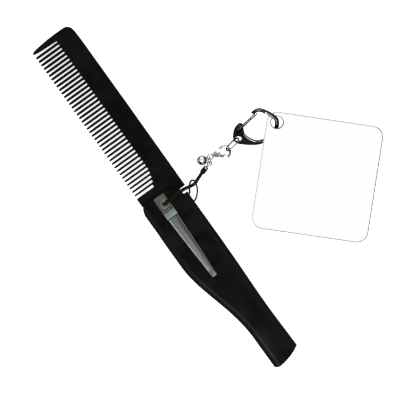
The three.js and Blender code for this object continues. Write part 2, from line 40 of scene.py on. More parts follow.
import bmesh
import bpy
import numpy as np
from bpy.props import FloatProperty, FloatVectorProperty, IntProperty, PointerProperty
from mathutils import Matrix, Vector
from mathutils.geometry import tessellate_polygon

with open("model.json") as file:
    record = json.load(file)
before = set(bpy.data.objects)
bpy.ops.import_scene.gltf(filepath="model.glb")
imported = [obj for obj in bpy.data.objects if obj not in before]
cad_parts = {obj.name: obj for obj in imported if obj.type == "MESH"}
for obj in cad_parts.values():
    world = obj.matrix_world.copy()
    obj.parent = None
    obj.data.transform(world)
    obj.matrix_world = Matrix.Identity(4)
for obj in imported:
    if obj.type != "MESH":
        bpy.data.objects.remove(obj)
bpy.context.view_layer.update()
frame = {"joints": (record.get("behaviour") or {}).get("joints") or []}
joints = {joint["name"]: joint for joint in frame["joints"]}
MM = 0.001


# Colours and sizes


def linear(code):
    """An sRGB hex colour as linear RGBA: c / 12.92 up to 0.04045, then ((c + 0.055) / 1.055) ** 2.4."""
    srgb = np.array([int(code[i:i + 2], 16) for i in (1, 3, 5)]) / 255
    rgb = np.where(srgb <= 0.04045, srgb / 12.92, ((srgb + 0.055) / 1.055) ** 2.4)
    return (*rgb.tolist(), 1.0)


def size(name, default, description):
    """A length of the object in millimetres."""
    return FloatProperty(name=name, default=default, min=0.01, description=description + ", in millimetres")


def colour(name, code, description):
    """A colour that is picked in sRGB and kept linear."""
    return FloatVectorProperty(name=name, default=linear(code), size=4, min=0, max=1, subtype="COLOR",
                               description="Colour of " + description)


class CombSizes(bpy.types.PropertyGroup):
    handle_thickness: size("Handle thickness", 7.8, "Height of the closed handle")
    shoulder: size("Shoulder width", 3.0, "Width of the rounded shoulder along the handle's edges")
    edge: size("Moulded edge", 0.22, "Radius of the handle's small edges")
    blade_thickness: size("Blade thickness", 2.4, "Thickness of the blade at its spine")
    tooth_tip: size("Tooth tip thickness", 1.6, "Thickness of a tooth at its point")
    teeth: IntProperty(name="Teeth", default=40, min=2, description="Teeth beside the guard tooth")
    tooth_pitch: size("Tooth pitch", 1.899, "Distance from tooth to tooth")
    clip_stock: size("Clip thickness", 0.5, "Thickness of the clip's sheet steel")
    cord: size("Cord diameter", 0.8, "Diameter of the strap's cord")


class ChainSizes(bpy.types.PropertyGroup):
    ring: size("Jump ring radius", 1.5, "Mean radius of the jump ring")
    ring_wire: size("Jump ring wire", 0.55, "Wire diameter of the jump ring")
    bell: size("Bell radius", 2.45, "Outer radius of the bell")
    bow: size("Clasp bow radius", 2.55, "Mean radius of the clasp's bow")
    link_wire: size("Link wire", 0.75, "Wire diameter of the long link")
    hook_width: size("Hook bar width", 1.95, "Width of the hook's bar")
    hook_thickness: size("Hook bar thickness", 1.2, "Thickness of the hook's bar")
    mirror_side: size("Mirror side", 52.0, "Side of the square mirror")
    mirror_corner: size("Mirror corner", 5.0, "Corner radius of the mirror")
    mirror_hole: size("Mirror hole", 5.2, "Diameter of the hole in the mirror's corner")


class Finishes(bpy.types.PropertyGroup):
    handle: colour("Handle", "#070708", "the handle's ABS")
    blade: colour("Blade", "#060607", "the blade's plastic")
    steel: colour("Clip steel", "#707072", "the clip's stainless steel")
    # Painted reflection: the pale colour stands in for a glint of light in the clip's bend.
    film: colour("Lacquer in the bend", "#7A8A80", "the pale lacquer left in the clip's bend")
    # Painted shade: the head's colour is a darker, warmer copy of the same steel as the tongue.
    plate: colour("Clip plate", "#58554F", "the clip's head, warmer than its tongue")
    nickel: colour("Nickel", "#BCBAB6", "the bright nickel plate")
    # Painted shade: the link's colour is a darker copy of the bright nickel, for how dark it looks standing
    # on edge.
    worn: colour("Worn nickel", "#8E8C88", "the plate of the link, which rubs on its neighbours")
    tumbled: colour("Tumbled nickel", "#DEDCD8", "the plate that is polished on all sides")
    rivet: colour("Rivet", "#6E6962", "the rivet's dulled plate")
    dark_nickel: colour("Dark nickel", "#303133", "the hook's dark nickel plate")
    cord: colour("Cord", "#070708", "the braided cord")
    silver: colour("Silver", "#FEFEFE", "the mirror's silvered face")
    rim: colour("Mirror rim", "#606264", "the mirror's sawn and polished edge")
    bore: colour("Mirror bore", "#4E5256", "the rough edge round the mirror's hole")
    paint: colour("Back paint", "#8A8E92", "the paint on the mirror's back")
    washer: colour("Washer", "#D8D6CF", "the nylon washers")
    floor: colour("Floor", "#F4F4F4", "the table")


# Places: the comb's frame, and the frames of the pieces that hang from it


def turned(degrees, axis="Z"):
    """A turn about one axis."""
    return Matrix.Rotation(math.radians(degrees), 4, axis)


def turned_to(direction, axis=(0, 0, 1)):
    """The least turn that takes an axis to a direction."""
    return Vector(axis).rotation_difference(direction.normalized()).to_matrix().to_4x4()


def at(x, y, z=0.0):
    """A move without a turn."""
    return Matrix.Translation((x, y, z))


def anchor(joint):
    """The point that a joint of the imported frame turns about, in millimetres."""
    return Vector(joints[joint]["pos_m"]) / MM


pivot = anchor("blade_fold")
COMB = at(pivot.x, pivot.y)
CHAIN_TURN = -125.66
CHAIN = COMB @ at(3.8, -27.4) @ turned(CHAIN_TURN)
FERRULE = CHAIN @ at(-2.5, -4.0, 1.36) @ turned(50)
JUMP_RING = CHAIN @ at(-0.2, 0.1, 1.85) @ turned(90, "Y")
BELL = CHAIN @ at(-3.75, 0.2, 2.5)
CLASP = CHAIN @ at(6.2, 3.7, 1.36) @ turned(19.1)
HOOK = CHAIN @ at(20.7, 14.7, 6.0) @ turned(34, "X")
HOOK_EYE = (-8.36, -6.2)
MIRROR_TURN = -8.5
MIRROR = (at(*anchor("mirror_swing")) @ turned_to(Vector(joints["mirror_swing"]["axis"]))
          @ turned(CHAIN_TURN + MIRROR_TURN))


# Surfaces


def skin(rings, closed=False):
    """Points and faces over n rings of m points. Each quad joins two neighbours on a ring to the same two
    on the next ring. The last ring joins the first when closed, and otherwise each end is one flat face."""
    n, m = rings.shape[:2]
    i, j = np.meshgrid(np.arange(n if closed else n - 1), np.arange(m), indexing="ij")
    ahead, beside = (i + 1) % n, (j + 1) % m
    faces = np.stack([i * m + j, i * m + beside, ahead * m + beside, ahead * m + j], -1)
    faces = faces.reshape(-1, 4).tolist()
    if not closed:
        faces += [list(range(m)), list(range((n - 1) * m, n * m))]
    return rings.reshape(-1, 3), faces


def curve_through(points, samples):
    """A centripetal Catmull-Rom curve: cubic pieces that pass through the points, with tangents weighted by
    the square roots of the distances between them."""
    p = np.asarray(points, float)
    p = np.concatenate([[2 * p[0] - p[1]], p, [2 * p[-1] - p[-2]]])
    gap = np.sqrt(np.linalg.norm(np.diff(p, axis=0), axis=1))[:, None]
    step = np.diff(p, axis=0) / gap
    wide = (p[2:] - p[:-2]) / (gap[1:] + gap[:-1])
    tangent = step[:-1] - wide + step[1:]
    t = np.linspace(0, len(p) - 3, samples)
    k = np.minimum(t.astype(int), len(p) - 4)
    t = (t - k)[:, None]
    a, b = p[k + 1], p[k + 2]
    da, db = tangent[k] * gap[k + 1], tangent[k + 1] * gap[k + 1]
    return ((2 * t**3 - 3 * t**2 + 1) * a + (t**3 - 2 * t**2 + t) * da
            + (3 * t**2 - 2 * t**3) * b + (t**3 - t**2) * db)


def even(points, count):
    """The same line with its points at equal distances."""
    along = np.concatenate([[0], np.cumsum(np.linalg.norm(np.diff(points, axis=0), axis=1))])
    spots = np.linspace(0, along[-1], count)
    return np.stack([np.interp(spots, along, points[:, k]) for k in range(points.shape[1])], -1)


def cut_corners(points, times, share):
    """Chaikin's rule on a closed outline: each side keeps its middle, and each corner becomes a side."""
    p = np.asarray(points, float)
    for _ in range(times):
        ahead = np.roll(p, -1, axis=0)
        p = np.stack([(1 - share) * p + share * ahead, share * p + (1 - share) * ahead], 1).reshape(-1, 2)
    return p


def circle(radius, sides, x=0.0, y=0.0, start=0.0, sweep=360.0):
    """Points of a circle about (x, y), or of an arc of it with both its ends."""
    a = np.radians(start + np.linspace(0, sweep, sides, endpoint=abs(sweep) < 360))
    return np.stack([x + radius * np.cos(a), y + radius * np.sin(a)], -1)


def flat(points, z=0.0):
    """Plan points as points in space at one height."""
    return np.column_stack([points, np.full(len(points), float(z))])


def headings(path, closed=False):
    """The unit direction of a line at each of its points."""
    ahead = np.roll(path, -1, 0) - np.roll(path, 1, 0) if closed else np.gradient(path, axis=0)
    return ahead / np.linalg.norm(ahead, axis=1, keepdims=True)


def swept(path, half_across, half_up, sides=16, closed=False, taper=1.0):
    """An oval section carried along a flat path. At each point it reaches half_across cos a along the
    path's normal in plan, and half_up sin a along Z. taper scales the section along the path."""
    up = np.array([0.0, 0.0, 1.0])
    across = np.cross(headings(path, closed), up)
    scale = (taper * np.ones(len(path)))[:, None, None]
    a = np.linspace(0, 2 * np.pi, sides, endpoint=False)[None, :, None]
    return skin(path[:, None] + half_across * scale * np.cos(a) * across[:, None]
                + half_up * scale * np.sin(a) * up, closed)


def round_ends(count, share):
    """Section scales that dome both ends of a bar: a quarter circle over a share of its length at each."""
    s = np.linspace(0, 1, count)
    near = np.clip(np.minimum(s, 1 - s) / share, 0, 1)
    return np.maximum(np.sqrt(1 - (1 - near) ** 2), 0.05)


def lathed(profile, sides):
    """A closed profile of (radius, height) carried round Z."""
    profile = np.asarray(profile, float)
    a = np.linspace(0, 2 * np.pi, sides, endpoint=False)
    rings = np.stack([np.outer(np.cos(a), profile[:, 0]), np.outer(np.sin(a), profile[:, 0]),
                      np.tile(profile[:, 1], (sides, 1))], -1)
    return skin(rings, closed=True)


def torus(radius, wire, around, sides):
    """A round wire of that diameter bent to a circle about Z."""
    return swept(flat(circle(radius, around)), wire / 2, wire / 2, sides, closed=True)


def slab(loops, half, edge, z, steps=3):
    """A plate about the height z from an outline and its holes, as rings. Going up, a ring is drawn into
    the material by edge * (1 - cos a) and stands at half - edge + edge * sin a, for a from 0 to 90 degrees,
    so the edges are quarter circles. edge may be one radius or one for each point of the outline."""
    a = np.linspace(0, np.pi / 2, steps + 1)
    points, faces, start, rims = [], [], 0, []
    for n, loop in enumerate(loops):
        loop = np.asarray(loop, float)
        ahead, behind = np.roll(loop, -1, 0) - loop, loop - np.roll(loop, 1, 0)
        signed = np.sum(loop[:, 0] * np.roll(loop[:, 1], -1) - loop[:, 1] * np.roll(loop[:, 0], -1))
        side = np.sign(signed) * (1 if n == 0 else -1)
        normals = [side * np.stack([-d[:, 1], d[:, 0]], -1) / np.linalg.norm(d, axis=1, keepdims=True)
                   for d in (ahead, behind)]
        middle = normals[0] + normals[1]
        middle /= np.maximum(np.sum(middle * middle, axis=1, keepdims=True) / 2, 0.9)
        e = np.broadcast_to(edge if n == 0 else np.min(edge), len(loop))
        inset = np.concatenate([(1 - np.cos(a))[::-1], 1 - np.cos(a)])[:, None] * e
        rise = half - e + np.sin(a)[:, None] * e
        rings = np.empty((2 * len(a), len(loop), 3))
        rings[..., :2] = loop + inset[..., None] * middle
        rings[..., 2] = z + np.concatenate([-rise[::-1], rise])
        ring_points, ring_faces = skin(rings)
        points.append(ring_points)
        faces += [[v + start for v in face] for face in ring_faces[:-2]]
        rims.append((rings[-1], start, start + (len(rings) - 1) * len(loop)))
        start += len(ring_points)
    top = np.concatenate([np.arange(len(r)) + high for r, _, high in rims])
    low = np.concatenate([np.arange(len(r)) + bottom for r, bottom, _ in rims])
    triangles = np.array(tessellate_polygon([[Vector((*p[:2], 0)) for p in r] for r, _, _ in rims]))
    return np.concatenate(points), faces + top[triangles].tolist() + low[triangles].tolist()


def joined(*shapes):
    """Several shapes as one."""
    points, faces, start = [], [], 0
    for shape_points, shape_faces in shapes:
        points.append(shape_points)
        faces += [[v + start for v in face] for face in shape_faces]
        start += len(shape_points)
    return np.concatenate(points), faces


def placed(shape, place):
    """A shape moved from a piece's own frame to another."""
    m = np.array(place)
    return shape[0] @ m[:3, :3].T + m[:3, 3], shape[1]


# Cuts and joints between shapes


def ease(t):
    """Smoothstep: 3 t^2 - 2 t^3 between 0 and 1, and flat outside."""
    t = np.clip(t, 0, 1)
    return t * t * (3 - 2 * t)


def arch(start, control, end, count=8):
    """A quadratic curve from start to end, drawn towards control: (1-t)^2, 2t(1-t) and t^2 of them."""
    t = np.linspace(0, 1, count)[:, None]
    return (1 - t) ** 2 * np.array(start) + 2 * t * (1 - t) * np.array(control) + t**2 * np.array(end)


def block(low, high):
    """A box between two corners."""
    (x0, y0, z0), (x1, y1, z1) = low, high
    return prism([[x0, y0], [x1, y0], [x1, y1], [x0, y1]], z0, z1)


def prism(outline, low, high):
    """An outline drawn straight up between two heights."""
    return skin(np.stack([flat(outline, low), flat(outline, high)]))


def post(radius, low, high, x=0.0, y=0.0, sides=48):
    """A round post between two heights."""
    return prism(circle(radius, sides, x, y), low, high)


def ball(radius, rows, sides):
    """A sphere: a half circle from pole to pole, carried round Z."""
    a = np.linspace(-np.pi / 2, np.pi / 2, rows)
    return lathed(np.stack([radius * np.cos(a), radius * np.sin(a)], -1), sides)


def clean_mesh(name, shape):
    """A mesh of the shape with its doubles merged and its faces turned outwards."""
    mesh = bpy.data.meshes.new(name)
    mesh.from_pydata(shape[0].tolist(), [], shape[1])
    work = bmesh.new()
    work.from_mesh(mesh)
    bmesh.ops.remove_doubles(work, verts=work.verts, dist=0.002)
    bmesh.ops.dissolve_degenerate(work, edges=work.edges, dist=0.0005)
    bmesh.ops.recalc_face_normals(work, faces=work.faces)
    work.to_mesh(mesh)
    work.free()
    return mesh


def carved(shape, tools, way="DIFFERENCE"):
    """The shape after an exact Boolean with each tool in turn: cut away, added, or what both share."""
    target, *others = [bpy.data.objects.new("carving", clean_mesh("carving", s)) for s in (shape, *tools)]
    for thing in (target, *others):
        bpy.context.scene.collection.objects.link(thing)
    for other in others:
        step = target.modifiers.new("step", "BOOLEAN")
        step.operation, step.solver, step.object = way, "EXACT", other
    worked = target.evaluated_get(bpy.context.evaluated_depsgraph_get()).to_mesh()
    points = np.empty(len(worked.vertices) * 3)
    worked.vertices.foreach_get("co", points)
    faces = [list(face.vertices) for face in worked.polygons]
    for thing in (target, *others):
        mesh = thing.data
        bpy.data.objects.remove(thing)
        bpy.data.meshes.remove(mesh)
    if not faces:
        raise RuntimeError("a Boolean left nothing of a shape")
    return points.reshape(-1, 3), faces


def add_piece(name, shape, place, body, material, replaces, sharp):
    """Makes a piece's object. Its points go to the row frame in metres, doubles are merged, faces turn
    outwards, and edges sharper than the angle stay crisp. It rides on a body and stands for CAD nodes."""
    mesh = clean_mesh(name, placed(shape, place))
    mesh.transform(Matrix.Scale(MM, 4))
    mesh.shade_smooth()
    mesh.set_sharp_from_angle(angle=math.radians(sharp))
    mesh.materials.append(finish(material))
    piece = bpy.data.objects.new(name, mesh)
    bpy.context.scene.collection.objects.link(piece)
    weighted = piece.modifiers.new("flats first", "WEIGHTED_NORMAL")
    weighted.keep_sharp = True
    weighted.weight = 100
    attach(piece, body)
    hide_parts(*replaces)
    return piece


def map_points(piece, name, values):
    """Gives every point of a piece a vector under that name, for its material to read."""
    if len(piece.data.vertices) != len(values):
        raise RuntimeError(piece.name + ": its points no longer match its map")
    piece.data.attributes.new(name, "FLOAT_VECTOR", "POINT").data.foreach_set("vector", np.ravel(values))


def points_of(piece):
    """The points of a piece in the comb's frame, in millimetres."""
    points = np.empty(len(piece.data.vertices) * 3)
    piece.data.vertices.foreach_get("co", points)
    return placed((points.reshape(-1, 3) / MM, []), COMB.inverted())[0]


def soften(piece, width, angle, segments):
    """Rounds the sharp edges of a piece with a small bevel of that width in millimetres."""
    bevel = piece.modifiers.new("edge", "BEVEL")
    bevel.width = width * MM
    bevel.segments = segments
    bevel.limit_method = "ANGLE"
    bevel.angle_limit = math.radians(angle)
    bevel.miter_outer = "MITER_ARC"
    piece.modifiers.move(len(piece.modifiers) - 1, 0)


# Materials


def add(tree, kind, inputs=(), **settings):
    """Adds a shader node. settings are its own properties. inputs go to its sockets, in their order or by
    name: each is a value, a socket, or a node whose first output is meant."""
    made = tree.nodes.new("ShaderNode" + kind)
    for key, value in settings.items():
        setattr(made, key, value)
    for key, value in inputs.items() if isinstance(inputs, dict) else enumerate(inputs):
        value = value.outputs[0] if isinstance(value, bpy.types.Node) else value
        if isinstance(value, bpy.types.NodeSocket):
            tree.links.new(value, made.inputs[key])
        else:
            made.inputs[key].default_value = value
    return made


def per_mm(millimetres):
    """The scale of a pattern on Object coordinates, in metres, whose features repeat at that distance."""
    return 1 / (millimetres * MM)


def toned(base, share):
    """A colour made darker or lighter by a share of its light."""
    return (*[min(1.0, c * share) for c in base[:3]], 1.0)


# Each recipe adds its patterns to a material's tree and returns what its shader reads. A Map Range node's
# inputs are the factor, its range, and the range that it is mapped to.


def moulded_plastic(tree, base, roughness, marks, gloss):
    """Black ABS from a polished mould. Its gloss is even, with a slow waviness that bends the highlights,
    faint dull patches where hands rub it, and hairlines from pockets that only show at a low angle."""
    place = add(tree, "TexCoord").outputs["Object"]
    wave = add(tree, "TexNoise", {"Vector": place, "Scale": per_mm(22), "Detail": 1.0})
    rub = add(tree, "TexNoise", {"Vector": place, "Scale": per_mm(9), "Detail": 4.0, "Roughness": 0.6})
    turn, stretch = (0, 0, math.radians(4)), (per_mm(18), per_mm(0.35), per_mm(0.35))
    lengthwise = add(tree, "Mapping", {"Vector": place, "Rotation": turn, "Scale": stretch})
    hairline = add(tree, "TexNoise", {"Vector": lengthwise, "Scale": 1.0, "Detail": 3.0})
    dull = add(tree, "MapRange", (rub, 0.35, 0.7, roughness * 0.8, roughness * 1.5))
    scratched = add(tree, "MapRange", (hairline, 0.62, 0.75, 0.0, marks))
    shade = add(tree, "MixRGB", (add(tree, "MapRange", (rub, 0.3, 0.75)), base, toned(base, 1.5)))
    swell = add(tree, "Bump", {"Height": wave, "Strength": 0.35, "Distance": 0.25 * MM})
    bump = add(tree, "Bump", {"Height": hairline, "Strength": 0.06, "Distance": 0.02 * MM, "Normal": swell})
    return {"Base Color": shade, "Roughness": add(tree, "Math", (dull, scratched), operation="ADD"),
            "Normal": bump, "IOR": 1.53, "Specular IOR Level": gloss}


def brushed_stainless(tree, base, edges, film=None):
    """Stainless strip, brushed lengthwise. The brush follows the strip, so the grooves are read from the
    piece's own attribute: millimetres along it, and the share of the half width across it. Fine parallel
    grooves, drawn about 0.15 mm apart so that they show, leave light and dark streaks. Light and shade are
    painted along the strip's edges: one side has a dark band with a painted highlight line outside it, and
    the other a highlight line alone; edges gives their strength. The turned-up end has a painted highlight
    that makes it brighter. The pale colour given for the bend is a painted reflection in the bend of the
    step,
    3.9 to 6.6 mm along, where the metal is made mostly non-metallic so that the colour shows, with a painted
    dark line of shade at each end of it."""
    strip = add(tree, "Attribute", attribute_name="brush").outputs["Vector"]
    along, across, _ = add(tree, "SeparateXYZ", (strip,)).outputs
    brush = add(tree, "CombineXYZ", (along, across))
    fine = add(tree, "Mapping", {"Vector": brush, "Scale": (0.05, 16, 1)})
    wide = add(tree, "Mapping", {"Vector": brush, "Scale": (0.03, 4.5, 1)})
    groove = add(tree, "TexNoise", {"Vector": fine, "Scale": 1.0, "Detail": 3.0, "Roughness": 0.7})
    streak = add(tree, "TexNoise", {"Vector": wide, "Scale": 1.0, "Detail": 2.0})
    tone = add(tree, "Math", (streak, 1.8, groove), operation="MULTIPLY_ADD")
    tone = add(tree, "MapRange", (tone, 1.12, 1.68))
    shade = add(tree, "MixRGB", (tone, toned(base, 0.35), toned(base, 1.15)))
    # Painted highlight and shade along the edges: a bright line at each edge, and a dark band inside one of
    # them.
    edge_light_and_shade = add(tree, "ValToRGB", (add(tree, "MapRange", (across, -1.0, 1.0)),))
    stops, full = edge_light_and_shade.color_ramp.elements, 2.1
    dark, plain, light = 1 - 0.8 * edges, 1.0, 1 + 1.1 * edges
    tones = {0: light, 0.045: light, 0.07: dark, 0.17: dark, 0.21: plain, 0.9: plain, 0.95: light, 1: light}
    for spot, value in tones.items():
        stop = stops[0] if spot == 0 else stops[-1] if spot == 1 else stops.new(spot)
        stop.color = (value / full, value / full, value / full, 1)
    tinted = add(tree, "VectorMath", (shade, edge_light_and_shade), operation="MULTIPLY")
    # Painted highlight: the turned-up end is made brighter.
    end_highlight = add(tree, "MapRange", (along, -38.2, -36.8, 3.4, full))
    tinted = add(tree, "VectorMath", {0: tinted, "Scale": end_highlight}, operation="SCALE")
    bump = add(tree, "Bump", {"Height": groove, "Strength": 0.5, "Distance": 0.015 * MM})
    metallic = 1.0
    if film:
        # Painted reflection: a pale colour in the bend of the step, made less metallic so that it shows, and
        # painted shade as a dark line at each end of it.
        from_bend = add(tree, "Math", (along, 5.25), operation="ADD")
        from_bend = add(tree, "Math", (from_bend,), operation="ABSOLUTE")
        crease_shade = add(tree, "Math", (from_bend, 1.65, 0.22), operation="COMPARE")
        kept = add(tree, "MapRange", (crease_shade, 0.0, 1.0, 1.0, 0.3))
        tinted = add(tree, "VectorMath", {0: tinted, "Scale": kept}, operation="SCALE")
        glint = add(tree, "MapRange", (from_bend, 1.25, 1.45, 0.86, 0.0))
        metallic = add(tree, "MapRange", (glint, 0.0, 1.0, 1.0, 0.1))
        tinted = add(tree, "MixRGB", (glint, tinted, film))
    return {"Base Color": tinted, "Normal": bump, "Metallic": metallic,
            "Roughness": add(tree, "MapRange", (groove, 0.3, 0.7, 0.34, 0.52))}


def plated_metal(tree, base, roughness, grain=1.6, sides=0.4, crest=(0.5, 0.95)):
    """Nickel plate over a tumbled casting or drawn wire. Its colour and edge tint carry painted shade: they
    are full on faces that look up or down, darker on sloping faces and sides, and darker again where ambient
    occlusion finds nearby surfaces, so a wire shows dark edges; sides is how bright a side stays, and crest
    how upright the plate must stand to start and to end getting bright. The blank's unevenness, a mm or two
    across, bends what it mirrors, and small dull spots show where pieces rub."""
    place = add(tree, "TexCoord").outputs
    dent = add(tree, "TexNoise", {"Vector": place["Object"], "Scale": per_mm(grain), "Detail": 2.0})
    spot = add(tree, "TexNoise", {"Vector": place["Object"], "Scale": per_mm(0.5), "Detail": 3.0})
    # Painted shade: ambient occlusion and the normal's tilt from Z darken the colour and the edge tint.
    open_sky = add(tree, "AmbientOcclusion", {"Distance": 3 * MM}, samples=8).outputs["AO"]
    upright = add(tree, "SeparateXYZ", (place["Normal"],)).outputs["Z"]
    upright = add(tree, "MapRange", (add(tree, "Math", (upright,), operation="ABSOLUTE"), *crest, sides, 1.0))
    painted_shading = add(tree, "Math", (upright, open_sky), operation="MULTIPLY")
    uneven = add(tree, "MapRange", (dent, 0.3, 0.7, -0.12, 0.12))
    bright = add(tree, "MapRange", (add(tree, "Math", (uneven, painted_shading), operation="ADD"), 0.45, 0.82))
    shade = add(tree, "MixRGB", (bright, toned(base, 0.06), base))
    bump = add(tree, "Bump", {"Height": dent, "Strength": 0.3, "Distance": 0.06 * MM})
    return {"Base Color": shade, "Specular Tint": shade, "Normal": bump, "Metallic": 1.0,
            "Roughness": add(tree, "MapRange", (spot, 0.4, 0.75, roughness * 0.7, roughness * 2.2))}


def braided_polyester(tree, base):
    """Braided polyester cord, read from the piece's own attribute: the millimetres along it, and the cosine
    and sine of the angle round it. Two sets of strands cross at a slant every 0.6 mm and stand proud. Its
    colour is painted darker in the grooves between them and lighter on their crowns: painted shade and light."""
    braid = add(tree, "Attribute", attribute_name="braid").outputs["Vector"]
    along, cosine, sine = add(tree, "SeparateXYZ", (braid,)).outputs
    angle = add(tree, "Math", (sine, cosine), operation="ARCTAN2")
    turn = add(tree, "Math", (angle, 2.0), operation="MULTIPLY")
    run = add(tree, "Math", (along, math.pi / 0.6), operation="MULTIPLY")
    strands = []
    for way in ("ADD", "SUBTRACT"):
        wave = add(tree, "Math", (add(tree, "Math", (run, turn), operation=way),), operation="SINE")
        strands.append(add(tree, "Math", (wave,), operation="ABSOLUTE"))
    proud = add(tree, "Math", strands, operation="MULTIPLY")
    # Painted shade in the grooves and painted light on the strands' crowns.
    shade = add(tree, "MixRGB", (proud, toned(base, 0.4), toned(base, 1.6)))
    bump = add(tree, "Bump", {"Height": proud, "Strength": 0.8, "Distance": 0.06 * MM})
    return {"Base Color": shade, "Normal": bump, "Roughness": 0.7, "Specular IOR Level": 0.12,
            "Sheen Weight": 0.03}


def silvered_acrylic(tree, base):
    """The silvered face of an acrylic mirror: nearly all light comes back, rippled by the cast sheet."""
    place = add(tree, "TexCoord").outputs["Object"]
    ripple = add(tree, "TexNoise", {"Vector": place, "Scale": per_mm(30), "Detail": 1.0})
    touch = add(tree, "TexNoise", {"Vector": place, "Scale": per_mm(6), "Detail": 5.0, "Roughness": 0.7})
    bump = add(tree, "Bump", {"Height": ripple, "Strength": 0.1, "Distance": 0.05 * MM})
    return {"Base Color": base, "Metallic": 1.0, "Normal": bump,
            "Roughness": add(tree, "MapRange", (touch, 0.5, 0.8, 0.01, 0.05))}


def sawn_acrylic(tree, base, polished, painted_shading):
    """The edge of the acrylic sheet, a little milky, with the saw's fine lines left. Light and shade are
    painted
    on it by which way an edge faces: the two sides by the hook's corner are painted pale, and the other two
    dark; polished scales the painted light and the last value the painted shade, against the plain edge."""
    to_shaded_sides = (-0.96, -0.27, 0.0)
    place = add(tree, "TexCoord").outputs
    facing = add(tree, "VectorMath", (place["Normal"], to_shaded_sides), operation="DOT_PRODUCT")
    saw = add(tree, "TexNoise", {"Vector": place["Object"], "Scale": per_mm(0.7), "Detail": 3.0})
    shade = add(tree, "MixRGB", (saw, toned(base, 0.7), toned(base, 1.3)))
    # Painted light and shade: edges facing away from the hook's corner are darkened, the others lightened.
    side = add(tree, "MapRange", (facing.outputs["Value"], -0.2, 0.1, polished, painted_shading))
    return {"Base Color": add(tree, "VectorMath", {0: shade, "Scale": side}, operation="SCALE"), "IOR": 1.49,
            "Roughness": add(tree, "MapRange", (saw, 0.3, 0.7, 0.15, 0.4))}


def rolled_paint(tree, base):
    """Grey protective paint rolled on the mirror's back: satin, with a fine stipple from the roller."""
    place = add(tree, "TexCoord").outputs["Object"]
    stipple = add(tree, "TexNoise", {"Vector": place, "Scale": per_mm(0.8), "Detail": 3.0})
    cloud = add(tree, "TexNoise", {"Vector": place, "Scale": per_mm(14), "Detail": 2.0})
    shade = add(tree, "MixRGB", (add(tree, "MapRange", (cloud, 0.35, 0.65)), base, toned(base, 0.85)))
    bump = add(tree, "Bump", {"Height": stipple, "Strength": 0.35, "Distance": 0.04 * MM})
    return {"Base Color": shade, "Normal": bump, "Roughness": 0.5}


def cut_nylon(tree, base):
    """Natural nylon sheet, stamped to washers: off-white and waxy, with a faint mottle."""
    place = add(tree, "TexCoord").outputs["Object"]
    mottle = add(tree, "TexNoise", {"Vector": place, "Scale": per_mm(1.2), "Detail": 2.0})
    shade = add(tree, "MixRGB", (mottle, base, toned(base, 0.8)))
    return {"Base Color": shade, "Roughness": 0.45, "IOR": 1.53}


def matt_laminate(tree, base):
    """White laminate under the object. It keeps the shadow, and a camera, mirror or glass ray sees it near
    white: for those rays its own light is mixed in, which fades where nearly all of the sky is covered, as
    below the rivet's bore."""
    place = add(tree, "TexCoord").outputs["Object"]
    grain = add(tree, "TexNoise", {"Vector": place, "Scale": per_mm(1.5), "Detail": 2.0})
    rays = add(tree, "LightPath").outputs
    seen = add(tree, "Math", (rays["Is Camera Ray"], rays["Is Transmission Ray"]), operation="MAXIMUM")
    open_sky = add(tree, "AmbientOcclusion", {"Distance": 4 * MM}, samples=16).outputs["AO"]
    glow = add(tree, "MapRange", (open_sky, 0.07, 0.2, 0.0, 0.92))
    seen = add(tree, "Math", (seen, glow), operation="MULTIPLY")
    lit = add(tree, "Math", (rays["Is Glossy Ray"], 0.1, seen), operation="MULTIPLY_ADD")
    return {"Base Color": base, "Roughness": add(tree, "MapRange", (grain, 0.0, 1.0, 0.75, 0.9)),
            "Specular IOR Level": 0.1, "Emission Color": (1, 1, 1, 1), "Emission Strength": lit}


# Each material's recipe, its colours by their names in Finishes, and its other values
RECIPES = {
    "moulded black ABS": (moulded_plastic, "handle", 0.22, 0.12, 0.07),
    "moulded black comb plastic": (moulded_plastic, "blade", 0.26, 0.08, 0.055),
    "brushed stainless strip": (brushed_stainless, "steel", 1.0, "film"),
    # The head's plate is the same steel, painted darker: painted shade.
    "brushed stainless plate": (brushed_stainless, "plate", 0.0),
    # For the nickel, the values after roughness and grain set the painted shade: how bright a side stays, and
    # the crest.
    "bright nickel plate": (plated_metal, "nickel", 0.18, 1.6, 0.46, (0.86, 0.995)),
    "worn nickel plate": (plated_metal, "worn", 0.2, 1.6, 0.4, (0.9, 1.0)),
    "tumbled nickel plate": (plated_metal, "tumbled", 0.2, 1.6, 1.3),
    "dulled nickel plate": (plated_metal, "rivet", 0.3),
    "dark nickel plate": (plated_metal, "dark_nickel", 0.12, 3.0),
    "braided polyester": (braided_polyester, "cord"),
    "silvered acrylic": (silvered_acrylic, "silver"),
    # 4.8 and 0.12 scale the painted light and painted shade on the mirror's rim.
    "sawn acrylic edge": (sawn_acrylic, "rim", 4.8, 0.12),
    "bored acrylic edge": (sawn_acrylic, "bore", 1.0, 1.0),
    "rolled grey paint": (rolled_paint, "paint"),
    "stamped nylon": (cut_nylon, "washer"),
    "matt white laminate": (matt_laminate, "floor"),
}


def finish(name):
    """The material of that name, made once, with the shader that reads what its recipe returns."""
    if name in bpy.data.materials:
        return bpy.data.materials[name]
    recipe, *values = RECIPES[name]
    tints = bpy.context.scene.comb_finishes
    material = bpy.data.materials.new(name)
    material.use_nodes = True
    tree = material.node_tree
    tree.nodes.clear()
    inputs = recipe(tree, *[getattr(tints, value) if isinstance(value, str) else value for value in values])
    add(tree, "OutputMaterial", (add(tree, "BsdfPrincipled", inputs),))
    return material


# Comb

HANDLE_TAIL, HANDLE_NOSE = -87.4, 4.66
PARTING = 3.9
RIVET_BORE = 1.59
CLIP_FOOT = 6.75
TOOTH_ROOT, TOOTH_POINT = -3.1, 8.76
FIRST_TOOTH, LAST_GAP = 84.5, 8.89


